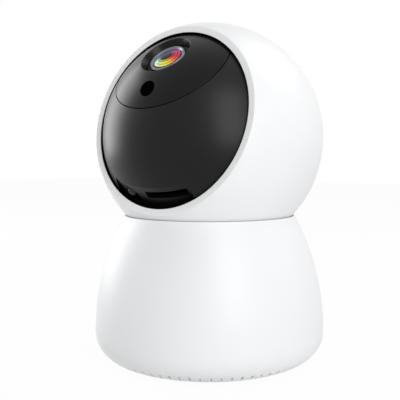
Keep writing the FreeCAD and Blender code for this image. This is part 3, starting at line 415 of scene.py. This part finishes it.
def foamCells(name, colour):
    # closed foam: rounded cells of about half a millimetre
    finish = Finish(name, Roughness=0.95)
    cell = finish.cells(1700)
    finish.feed("Base Color", finish.blend(cell.limited(), opaque(colour, 1.2), opaque(colour, 0.5)))
    finish.bump(cell, 0.00012)
    return finish.material


def rubberSkin(name, colour):
    # moulded rubber: dusty patches over a fine matt skin
    finish = Finish(name, Specular_IOR_Level=0.3)
    dust = finish.noise(70, 4, rough=0.7)
    finish.feed("Base Color", finish.blend(dust, opaque(colour, 0.75), opaque(colour, 1.6)))
    finish.feed("Roughness", finish.remap(dust, 0.3, 0.7, 0.72, 0.88))
    finish.bump(finish.noise(3200, 3), 0.00002)
    return finish.material


def chipPackage(name, colour):
    # chip packages: fine mineral filler in black resin
    finish = Finish(name)
    filler = finish.noise(6000, 1)
    finish.feed("Base Color", finish.blend(filler > 0.62, opaque(colour), opaque(colour, 3.0)))
    finish.feed("Roughness", finish.remap(finish.noise(300, 2), 0.3, 0.7, 0.5, 0.65))
    finish.bump(filler, 0.00001)
    return finish.material


def speakerFinish(name):
    # pressed paper rings about the speaker's own axis
    low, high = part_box("speaker")
    middle = (np.array(low) + np.array(high)) / 2 / mm
    finish = Finish(name)
    across, up = finish.along(worldTurn[:, 0], middle), finish.along(worldTurn[:, 1], middle)
    ring = (across * across + up * up).root()
    rib = (ring * 9.0).sine()
    fibre = finish.noise(1500, 4)
    finish.feed("Base Color", finish.blend(fibre, opaque(srgb(34, 34, 36)), opaque(srgb(58, 57, 56))))
    finish.feed("Roughness", finish.remap(fibre, 0.3, 0.7, 0.5, 0.75))
    finish.bump(rib, 0.00004)
    return finish.material


def antennaFilm(name):
    # amber film with a copper comb under it
    finish = Finish(name, Coat_Weight=0.6)
    comb = (finish.along(worldTurn[:, 0]) * 2.4).sine() > 0.2
    finish.feed("Base Color", finish.blend(comb, opaque(srgb(150, 84, 22)), opaque(srgb(196, 128, 76))))
    finish.feed("Metallic", comb * 0.8)
    finish.feed("Roughness", finish.remap(finish.noise(400, 2), 0.3, 0.7, 0.25, 0.4))
    return finish.material


coatedGlass = {
    # colours painted round the glass, by bearing from local X, as parts of a turn: a painted reflection of
    # the coating's colours, the pale green-white ones a painted highlight
    "ring": [(0.0, (200, 26, 48)), (0.06, (196, 20, 84)), (0.17, (150, 30, 126)), (0.27, (74, 40, 132)),
             (0.36, (34, 62, 150)), (0.45, (24, 104, 172)), (0.53, (60, 160, 176)), (0.62, (160, 214, 170)),
             (0.70, (216, 232, 150)), (0.80, (226, 226, 52)), (0.87, (238, 176, 44)), (0.94, (226, 84, 48)),
             (1.0, (206, 36, 62))],
    "radius": 4.9,
    "pupil": 0.36,
    "pupilEdge": 0.3,
    "rim": 0.95,
    "ringCount": 34.0,
    "pupilColour": (0.004, 0.003, 0.006, 1),
    # strength of the painted glow that the coating gives off, though the lens is no lamp
    "glow": 0.22,
}


def lensCoating(name):
    # the coating's interference colours run round the glass as a painted reflection, with a painted
    # highlight in the pale green-white, and darken to the pupil, broken by fine dark rings; the same colours
    # also give a painted glow
    s = coatedGlass
    finish = Finish(name, Specular_IOR_Level=0.0, Coat_Weight=1.0, Coat_IOR=1.3, Coat_Roughness=0.03,
                    Roughness=0.3, Emission_Strength=s["glow"])
    across = finish.along(lensTurn[:, 0], centre)
    up = finish.along(lensTurn[:, 1], centre)
    reach = (across * across + up * up).root() / s["radius"]
    bearing = up.bearing(across) / (2 * math.pi)
    turnShare = bearing + (bearing < 0.0)
    stops = [(spot, opaque(srgb(*colour))) for spot, colour in s["ring"]]
    wheel = finish.add("ShaderNodeValToRGB", {"stops": stops}, {"Fac": turnShare})
    fine = finish.remap((reach * s["ringCount"]).sine(), 0.5, 1.0, 1.0, 0.2)
    lift = finish.remap(reach, s["pupil"], s["pupil"] + s["pupilEdge"], 0.0, 1.0)
    lift = lift * (reach < s["rim"]) * fine
    colour = finish.blend(lift, s["pupilColour"], wheel)
    finish.feed("Base Color", colour)
    # the coating's colours also as emission: a painted glow
    finish.feed("Emission Color", colour)
    return finish.material


ballShade, panelShade = srgb(11, 11, 12), srgb(7, 7, 8)
finishes = {
    "shell_white": mouldedPlastic("satinWhiteShell", srgb(238, 239, 240), 0.42, spread=0.006),
    "cover_plastic": mouldedPlastic("satinWhiteCover", srgb(226, 227, 228), 0.5, grain=0.00002, spread=0.01),
    "cup_plastic": mouldedPlastic("blackTurntable", srgb(24, 24, 25), 0.55),
    "foot_rubber": rubberSkin("greyFootRubber", srgb(120, 121, 123)),
    "screw_steel": platedMetal("nickelScrew", srgb(186, 184, 180), 0.3),
    "insert_brass": turnedMetal("threadedBrass", srgb(196, 160, 84), 0.28, lines=3.0),
    "frame_plastic": mouldedPlastic("greyDeckPlastic", srgb(150, 151, 153), 0.55, grain=0.00002),
    "motor_can": platedMetal("zincMotorCan", srgb(176, 178, 182), 0.34),
    "shaft_steel": turnedMetal("groundShaft", srgb(196, 197, 200), 0.2),
    "gear_plastic": mouldedPlastic("ivoryAcetal", srgb(226, 222, 208), 0.38, Subsurface_Weight=0.05),
    "speaker_parts": speakerFinish("speakerPaper"),
    "gasket_foam": foamCells("gasketFoam", srgb(46, 46, 48)),
    "circuit_board": boardMask("greenBoard", srgb(18, 84, 52), srgb(60, 120, 66)),
    "light_board": boardMask("blackBoard", srgb(20, 21, 22), srgb(50, 48, 40)),
    "chip_black": chipPackage("chipPackage", srgb(26, 26, 28)),
    "socket_metal": platedMetal("stampedSocket", srgb(190, 190, 188), 0.26, spangle=500.0),
    "plug_plastic": mouldedPlastic("nylonPlug", srgb(232, 230, 222), 0.5),
    "cable_jacket": rubberSkin("cableJacket", srgb(52, 52, 54)),
    "antenna_film": antennaFilm("antennaFilm"),
    # the opening's black trim ring: a black liner, whose black is also a painted shade for the dark gap
    # between the rim and the ball
    "trim_black": mouldedPlastic("mattBlackTrimAndShade", srgb(14, 14, 15), 0.8, grain=0.00002,
                                 Specular_IOR_Level=0.2),
    "ball_black": mouldedPlastic("darkBallPlastic", ballShade, 0.36, grain=0.000003, spread=0.03, IOR=1.31),
    "window_black": mouldedPlastic("blackWindowPanel", panelShade, 0.3, grain=0.000001, spread=0.03,
                                   IOR=1.27),
    "sensor_black": mouldedPlastic("sensorWindow", srgb(3, 3, 4), 0.7, grain=0.000001,
                                   Specular_IOR_Level=0.0),
    "barrel_metal": turnedMetal("turnedBarrel", srgb(116, 118, 128), 0.34, lensTurn, centre),
    "lens_coated": lensCoating("coatedGlass"),
    "lamp_resin": mouldedPlastic("lampResin", srgb(60, 30, 64), 0.12, Coat_Weight=0.5),
    "button_grey": mouldedPlastic("greyButton", srgb(52, 53, 55), 0.25),
}

for part in nodes.values():
    slotName = part.material_slots[0].material.name.split(".")[0]
    part.material_slots[0].material = finishes[slotName]

print("finishes made:", len(finishes))


# the white head: two shells of one ball, the front one open towards the lens

headShell = {
    "radius": 39.985, "inner": 38.2, "opening": 24.0, "split": -8.5,
    "level": 50.0,                             # height at which the turntable cuts the ball off
    "rimRounding": 0.35, "seamRounding": 0.04, "columns": 288,
    "bossInner": 1.52, "pivotInner": 2.02, "bossOuter": 5.0, "bossFrom": 34.2, "bossTo": 38.5,
    "seat": 4.2, "bossRounding": 0.3, "bossColumns": 48,
}


def ballEdge(radius, height):
    # how far from the axis a ball's skin is at a height
    return math.sqrt(radius ** 2 - height ** 2)


def skinBearing(radius, height):
    # the angle up from the horizontal at which a ball's skin reaches a height
    return math.degrees(math.asin(height / radius))


def axleBoss(name, side, bore):
    # a blind sleeve along X: its outline is turned about the tilt axis
    s = headShell
    boreEnd = s["bossFrom"] + s["seat"]
    profile = outline((0.0, boreEnd, 0), (bore, boreEnd, 0),
                      (bore, s["bossFrom"], 0), (s["bossOuter"], s["bossFrom"], s["bossRounding"]),
                      (s["bossOuter"], s["bossTo"], 0), (0.0, s["bossTo"], 0))
    turn = np.array([[0, 0, side], [0, side, 0], [-1, 0, 0]], float)
    return turnedMesh(name, profile, s["bossColumns"], turn)


def makeHeadShells():
    s = headShell
    openFrom, openTo = skinBearing(s["radius"], s["opening"]), skinBearing(s["inner"], s["opening"])
    splitFrom, splitTo = skinBearing(s["radius"], s["split"]), skinBearing(s["inner"], s["split"])
    front = outline(
        (ballEdge(s["radius"], s["split"]), s["split"], s["seamRounding"]),
        roundArc((0, 0), s["radius"], splitFrom, openFrom, 44),
        (ballEdge(s["radius"], s["opening"]), s["opening"], s["rimRounding"]),
        (ballEdge(s["inner"], s["opening"]), s["opening"], s["rimRounding"]),
        roundArc((0, 0), s["inner"], openTo, splitTo, 34),
        (ballEdge(s["inner"], s["split"]), s["split"], 0))
    rear = outline(
        (0.0, -s["radius"], 0),
        roundArc((0, 0), s["radius"], -90, splitFrom, 60),
        (ballEdge(s["radius"], s["split"]), s["split"], s["seamRounding"]),
        (ballEdge(s["inner"], s["split"]), s["split"], 0),
        roundArc((0, 0), s["inner"], splitTo, -90, 44),
        (0.0, -s["inner"], 0))
    frontMesh = turnedMesh("headFront", front, s["columns"], openingTurn)
    rearMesh = turnedMesh("headRear", rear, s["columns"], openingTurn, closed=False)
    for mesh in (frontMesh, rearMesh):
        levelCut(mesh, s["level"])
    bosses = [axleBoss("motorBoss", 1, s["bossInner"]), axleBoss("pivotBoss", -1, s["pivotInner"])]
    fit(joined("headFront", [frontMesh] + bosses), "head", "shell_white", "head_shell_front")
    fit(rearMesh, "head", "shell_white", "head_shell_rear")


makeHeadShells()


# the flared base: one turned wall with its dish, hub, ring of vents and inlet window

baseShell = {
    "foot": 0.8, "wide": 40.68, "wideHeight": 10.4, "wall": 2.0, "neck": (30.164, 51.2), "lipRounding": 0.7,
    "dish": 40.35, "dishUnder": 42.35, "hubBore": 9.05, "hubWall": 12.0, "hubLow": 30.4,
    "recess": (14.0, 37.2), "flange": (16.0, 35.0), "coverBore": 29.9, "coverTop": 2.8,
    "ledge": (26.0, 32.8, 4.3), "wallTop": 47.8, "dishEnd": 29.7, "edge": 0.2,
    "ventCount": 72, "ventFrom": 36.0, "ventTo": 38.0,
    "ventTurns": (-0.42, 0.0, 0.42),           # degrees, columns of a vent about its middle
    "wallTurns": (1.2, 2.5, 3.8),              # and of the wall before the next vent
    "inletHalf": 6.06, "inletLow": 8.2, "inletHigh": 12.0, "inletBearing": 90.0,
}


def rollPoint(radius, across, s):
    # point of the lower roll, a circle of the radius about its middle, at a distance from the axis
    middle = s["wide"] - (s["wideHeight"] - s["foot"])
    return (across, s["wideHeight"] - ballEdge(radius, across - middle))


def flankPoint(thickness, height, s):
    # point of the tall flank, a circle through the widest ring and the neck, set in by a thickness
    step, rise = s["wide"] - s["neck"][0], s["neck"][1] - s["wideHeight"]
    flank = (step ** 2 + rise ** 2) / (2 * step)
    across = s["wide"] - flank + ballEdge(flank - thickness, height - s["wideHeight"])
    return (across, height)


def openingFaces(outer, inner, columns, count):
    # walls of an opening through the shell, between its outer rows, its inner rows and two sets of columns
    firsts, lasts = columns[:-1], columns[1:]
    k = np.arange(len(outer) - 1)
    low = np.stack([outer[k], outer[k + 1], inner[k + 1], inner[k]], axis=-1)   # rows of a side wall
    starting, ending = firsts[0], lasts[-1]
    left = (low[..., ::-1][..., None] * count + starting)
    right = (low[..., None] * count + ending)
    faces = [left.reshape(-1, 4, starting.size).transpose(0, 2, 1),
             right.reshape(-1, 4, ending.size).transpose(0, 2, 1)]
    for first, last in zip(firsts, lasts):
        foot = np.stack([outer[0] * count + first, outer[0] * count + last,
                         inner[0] * count + last, inner[0] * count + first], axis=-1)
        head = np.stack([outer[-1] * count + first, inner[-1] * count + first,
                         inner[-1] * count + last, outer[-1] * count + last], axis=-1)
        faces += [foot, head]
    return np.concatenate([face.reshape(-1, 4) for face in faces])


def makeBaseShell():
    s = baseShell
    rollRadius = s["wideHeight"] - s["foot"]
    middle = s["wide"] - rollRadius
    vents = np.linspace(s["ventFrom"], s["ventTo"], 5)
    inlet = np.linspace(s["inletLow"], s["inletHigh"], 4)
    outerVents = np.array([rollPoint(rollRadius, across, s) for across in vents])
    innerVents = np.array([rollPoint(rollRadius - s["wall"], across, s) for across in vents])

    def wallPoint(thickness, height):
        # the roll up to the widest ring, and the flank above it
        if height < s["wideHeight"]:
            return (middle + ballEdge(rollRadius - thickness, height - s["wideHeight"]), height)
        return flankPoint(thickness, height, s)

    outerInlet = np.array([wallPoint(0, height) for height in inlet])
    innerInlet = np.array([wallPoint(s["wall"], height) for height in inlet])

    def rollAngle(point):
        return math.degrees(math.atan2(point[1] - s["wideHeight"], point[0] - middle))

    def roll(radius, first, last, count):
        return roundArc((middle, s["wideHeight"]), radius, first, last, count)

    upperOuter = np.array([flankPoint(0, height, s)
                           for height in np.linspace(s["inletHigh"], s["neck"][1], 34)[1:-1]])
    upperInner = np.array([flankPoint(s["wall"], height, s)
                           for height in np.linspace(s["wallTop"], s["inletHigh"], 22)[1:-1]])

    def dish(radius, first, last, count):
        return roundArc((0, centre[2]), radius, first, last, count)

    def dishAngle(across, radius):
        return -math.degrees(math.acos(across / radius))

    recessTop = centre[2] - ballEdge(s["dish"], s["recess"][0])
    flangeTop = centre[2] - ballEdge(s["dishUnder"], s["flange"][0])
    ledgeIn, ledgeOut, ledgeTop = s["ledge"]
    innerRoll = rollRadius - s["wall"]
    edge = s["edge"]
    profile = outline(
        (s["coverBore"], s["foot"], edge), (middle, s["foot"], 0),
        roll(rollRadius, -90, rollAngle(outerVents[0]), 9), outerVents,
        roll(rollRadius, rollAngle(outerVents[-1]), rollAngle(outerInlet[0]), 8), outerInlet,
        upperOuter,
        (*s["neck"], s["lipRounding"]),
        dish(s["dish"], dishAngle(s["neck"][0], s["dish"]), dishAngle(s["recess"][0], s["dish"]), 16),
        (s["recess"][0], recessTop, edge), (*s["recess"], 0), (s["hubBore"], s["recess"][1], edge),
        (s["hubBore"], s["hubLow"], edge), (s["hubWall"], s["hubLow"], 0.3),
        (s["hubWall"], s["flange"][1], 0),
        (*s["flange"], edge), (s["flange"][0], flangeTop, 0),
        dish(s["dishUnder"], dishAngle(s["flange"][0], s["dishUnder"]),
             dishAngle(s["dishEnd"], s["dishUnder"]), 12),
        (*flankPoint(s["wall"], s["wallTop"], s), 0.4),
        upperInner, innerInlet[::-1],
        roll(innerRoll, rollAngle(innerInlet[0]), rollAngle(innerVents[-1]), 6), innerVents[::-1],
        roll(innerRoll, rollAngle(innerVents[0]), rollAngle(rollPoint(innerRoll, ledgeOut, s)), 5),
        (*rollPoint(innerRoll, ledgeOut, s), 0), (ledgeOut, ledgeTop, edge), (ledgeIn, ledgeTop, edge),
        (ledgeIn, s["coverTop"], 0), (s["coverBore"], s["coverTop"], 0))

    def rowsOf(points):
        # the outline's rows that hold these points
        gap = np.linalg.norm(profile[None] - points[:, None], axis=2)
        return np.argmin(gap, axis=1)

    pitch = 360 / s["ventCount"]
    offsets = np.array(s["ventTurns"] + s["wallTurns"])
    turns = (np.arange(s["ventCount"])[:, None] * pitch + offsets).ravel()
    for side in (-1, 1):
        jamb = s["inletBearing"] + side * s["inletHalf"]
        turns[np.argmin(np.abs(turns - jamb))] = jamb
    count = len(turns)
    faces = gridFaces(len(profile), count)
    keep = np.ones(faces.shape[:2], bool)

    ventRows, ventBack = rowsOf(outerVents), rowsOf(innerVents)
    slots = np.arange(s["ventCount"]) * len(offsets)
    for rows in (ventRows, ventBack):
        keep[min(rows):max(rows), :] &= ~np.isin(np.arange(count) % len(offsets), (0, 1))
    ventColumns = np.stack([slots, slots + 1, slots + 2])
    inletRows, inletBack = rowsOf(outerInlet), rowsOf(innerInlet)
    first, last = (np.argmin(np.abs(turns - s["inletBearing"] - side * s["inletHalf"])) for side in (-1, 1))
    for rows in (inletRows, inletBack):
        keep[min(rows):max(rows), first:last] = False
    inletColumns = np.arange(first, last + 1)[:, None]
    walls = [openingFaces(ventRows, ventBack, ventColumns, count),
             openingFaces(inletRows, inletBack, inletColumns, count)]
    points = turnedGrid(profile, np.radians(turns))
    faces = np.concatenate([faces[keep]] + walls)
    fit(solidMesh("baseShell", points, faces), "base", "shell_white", "base_shell")


makeBaseShell()

footRing = {"inner": 27.2, "outer": 29.2, "height": 1.5, "rounding": 0.4, "columns": 144}


def makeFootRing():
    # a flat ring with round shoulders
    s = footRing
    profile = outline((s["outer"], 0.0, s["rounding"]), (s["outer"], s["height"], s["rounding"]),
                      (s["inner"], s["height"], s["rounding"]), (s["inner"], 0.0, s["rounding"]))
    ring = turnedMesh("footRing", profile, s["columns"], worldTurn, origin)
    fit(ring, "base", "foot_rubber", "foot_ring")


makeFootRing()


# the window panel, its dished lens opening and the lens

windowPanel = {
    "ball": 37.5, "under": 35.9, "edge": 20.55, "edgeRounding": 0.18, "mouth": 8.7, "mouthRounding": 0.22,
    "floor": (7.4, 33.9), "bore": 6.4, "well": (9.7, 32.8), "columns": 224,
    "dotDrop": 14.846, "dotBore": 2.75, "dotFrom": 30.0, "dotTo": 42.0,
}
lensBarrel = {
    "radius": 6.3, "front": 35.3, "back": 16.5, "bevel": 0.35, "lip": 5.55, "seat": 4.95, "seatDrop": 1.6,
    "stop": 4.3, "lipDrop": 0.5, "edge": 0.1, "columns": 128,
}
lensGlass = {"radius": 4.9, "back": 33.75, "edge": 1.2, "bulge": 1.1, "columns": 128}


def makeWindowPanel():
    s = windowPanel
    top = ballEdge(s["ball"], s["mouth"])
    bottom = ballEdge(s["ball"], s["edge"])
    wellTop = ballEdge(s["under"], s["well"][0])
    edgeUnder = ballEdge(s["under"], s["edge"])
    profile = outline(
        (s["edge"], edgeUnder, 0),
        (s["edge"], bottom, s["edgeRounding"]),
        roundArc((0, 0), s["ball"], skinBearing(s["ball"], bottom), skinBearing(s["ball"], top), 30),
        (s["mouth"], top, s["mouthRounding"]),
        (*s["floor"], 0.2), (s["bore"], s["floor"][1], 0), (s["bore"], s["well"][1], 0),
        (*s["well"], 0), (s["well"][0], wellTop, 0),
        roundArc((0, 0), s["under"], skinBearing(s["under"], wellTop),
                 skinBearing(s["under"], edgeUnder), 14))
    panel = turnedMesh("windowPanel", profile, s["columns"], lensTurn)
    # a bore for the light sensor, swung down from the lens axis
    swing = math.degrees(math.asin(s["dotDrop"] / s["ball"]))
    bore = outline((0.0, s["dotFrom"], 0), (s["dotBore"], s["dotFrom"], 0),
                   (s["dotBore"], s["dotTo"], 0), (0.0, s["dotTo"], 0))
    cutter = turnedMesh("dotBore", bore, 72, tiltedFrame(angles["lens"] - swing), closed=False)
    fit(carve(panel, cutter), "camera_ball", "window_black", "lens_panel")


def makeLens():
    s = lensBarrel
    front = s["front"]
    barrel = outline(
        (s["radius"], s["back"], 0.2), (s["radius"], front - s["bevel"], 0),
        (s["radius"] - s["bevel"], front, s["edge"]), (s["lip"], front, s["edge"]),
        (s["seat"], front - s["lipDrop"], s["edge"] / 2), (s["seat"], front - s["seatDrop"], 0),
        (s["stop"], front - s["seatDrop"], 0), (s["stop"], s["back"], 0))
    barrelMesh = turnedMesh("lensBarrel", barrel, s["columns"], lensTurn)
    fit(barrelMesh, "camera_ball", "barrel_metal", "lens_barrel")
    s = lensGlass
    crown = (s["radius"] ** 2 + s["bulge"] ** 2) / (2 * s["bulge"])
    rise = s["back"] + s["edge"]
    first = 90 - math.degrees(math.asin(s["radius"] / crown))
    glass = outline(
        (0.0, s["back"], 0), (s["radius"], s["back"], 0.15), (s["radius"], rise, 0.1),
        roundArc((0, rise + s["bulge"] - crown), crown, first, 90, 24), (0.0, rise + s["bulge"], 0))
    fit(turnedMesh("lensGlass", glass, s["columns"], lensTurn, closed=False),
        "camera_ball", "lens_coated", "lens_glass")


makeWindowPanel()
makeLens()

resetButton = {
    "spot": (-11.0, 6.9), "front": 34.0, "length": 4.6, "radius": 1.4, "dimple": 0.25,
    "flange": 2.2, "flangeFrom": -0.3, "flangeTo": 0.5,
}


def makeResetButton():
    # a short round key along local -Y, with a shallow dimple pressed in its round-edged face
    s = resetButton
    back = s["front"] - s["length"]
    low, high = back + s["flangeFrom"], back + s["flangeTo"]
    share = np.array([0.6, 0.4, 0.2])
    face = np.stack([s["radius"] * share, s["front"] - s["dimple"] * (1 - share ** 2) ** 2], axis=1)
    profile = outline(
        (0.0, low, 0), (s["flange"], low, 0.1), (s["flange"], high, 0.1),
        (s["radius"], high, 0), (s["radius"], s["front"], 0.3), face,
        (0.0, s["front"] - s["dimple"], 0))
    # the key's own Z is the ball's -Y, and its X stays the ball's X
    turn = lensTurn @ np.array([[1, 0, 0], [0, 0, -1], [0, 1, 0]], float)
    start = toWorld(np.array([s["spot"][0], 0.0, s["spot"][1]]), lensTurn)
    fit(turnedMesh("resetButton", profile, 64, turn, start, closed=False),
        "reset_key", "button_grey", "reset_button")


makeResetButton()
print("pieces made")


# floor, light and camera

stageSizes = {"floorReach": 1.6, "whiteShare": 0.96, "floorShade": 0.85}


def lightPath(tree, *kinds):
    # one when a ray is of any of the kinds
    rays = tree.nodes.new("ShaderNodeLightPath")
    total = rays.outputs[kinds[0]]
    for kind in kinds[1:]:
        either = tree.nodes.new("ShaderNodeMath")
        either.operation = "MAXIMUM"
        tree.links.new(total, either.inputs[0])
        tree.links.new(rays.outputs[kind], either.inputs[1])
        total = either.outputs[0]
    return total


def makeFloor():
    s = stageSizes
    half = s["floorReach"]
    mesh = bpy.data.meshes.new("floor")
    corners = [(-half, -half, 0), (half, -half, 0), (half, half, 0), (-half, half, 0)]
    mesh.from_pydata(corners, [], [(0, 1, 2, 3)])
    floor = bpy.data.objects.new("floor", mesh)
    bpy.context.scene.collection.objects.link(floor)
    finish = Finish("paleFloor", Roughness=0.9, Specular_IOR_Level=0.1)
    finish.shader.inputs["Base Color"].default_value = opaque((s["floorShade"],) * 3)
    output = finish.tree.nodes["Material Output"]
    glow = finish.add("ShaderNodeEmission", {}, {"Color": (1, 1, 1, 1), "Strength": 1.0})
    seen = Value(finish, lightPath(finish.tree, "Is Camera Ray", "Is Glossy Ray", "Is Transmission Ray"))
    shader = Value(finish, finish.shader.outputs[0])
    mix = finish.add("ShaderNodeMixShader", {}, {0: seen * s["whiteShare"], 1: shader, 2: glow})
    finish.tree.links.new(mix.socket, output.inputs["Surface"])
    mesh.materials.append(finish.material)


makeFloor()

worldLight = {"ambient": 0.37, "seen": 1.0}


def makeWorld():
    # the camera, gloss and glass see the white room; only the ambient part lights the object
    world = bpy.data.worlds.new("whiteRoom")
    bpy.context.scene.world = world
    world.use_nodes = True
    tree = world.node_tree
    background = tree.nodes["Background"]
    background.inputs["Color"].default_value = (1, 1, 1, 1)
    level = tree.nodes.new("ShaderNodeMapRange")
    level.inputs["To Min"].default_value = worldLight["ambient"]
    level.inputs["To Max"].default_value = worldLight["seen"]
    seen = lightPath(tree, "Is Camera Ray", "Is Glossy Ray", "Is Transmission Ray")
    tree.links.new(seen, level.inputs["Value"])
    tree.links.new(level.outputs[0], background.inputs["Strength"])


makeWorld()

lampTarget = (0, 0, 0.06)
lamps = {
    "rightSoftbox": {"spot": (0.56, -0.38, 0.28), "size": (0.34, 0.78), "power": 3.3},
    "leftStrip": {"spot": (-0.68, -0.02, 0.27), "size": (0.42, 0.6), "power": 3.1},
    "backSoftbox": {"spot": (0.24, 0.36, 0.62), "size": (0.4, 0.4), "power": 1.3},
}


def aim(thing, spot, target):
    way = np.array(target, float) - np.array(spot, float)
    yaw = math.atan2(-way[0], way[1])
    pitch = math.atan2(math.hypot(way[0], way[1]), -way[2])
    thing.location = spot
    thing.rotation_euler = (pitch, 0, yaw)


def makeLamps():
    for name, lamp in lamps.items():
        light = bpy.data.lights.new(name, "AREA")
        light.shape = "RECTANGLE"
        light.size, light.size_y = lamp["size"]
        light.energy = lamp["power"]
        thing = bpy.data.objects.new(name, light)
        bpy.context.scene.collection.objects.link(thing)
        aim(thing, lamp["spot"], lampTarget)


makeLamps()

cameraSettings = {
    "spot": (0.1321, -0.1936, 0.0709),
    "heading": 34.3,           # degrees to the right of the object's front
    "pitch": -3.62,
    "lens": 58.95,
    "shift": -0.02375,
}


def makeCamera():
    s = cameraSettings
    data = bpy.data.cameras.new("camera")
    data.lens = s["lens"]
    data.shift_x = s["shift"]
    data.clip_start = 0.01
    data.clip_end = 20
    camera = bpy.data.objects.new("camera", data)
    bpy.context.scene.collection.objects.link(camera)
    camera.location = s["spot"]
    camera.rotation_euler = (math.radians(90 + s["pitch"]), 0, math.radians(s["heading"]))
    bpy.context.scene.camera = camera


makeCamera()
bpy.context.scene.view_settings.view_transform = "Standard"
print("stage, lamps and camera set")
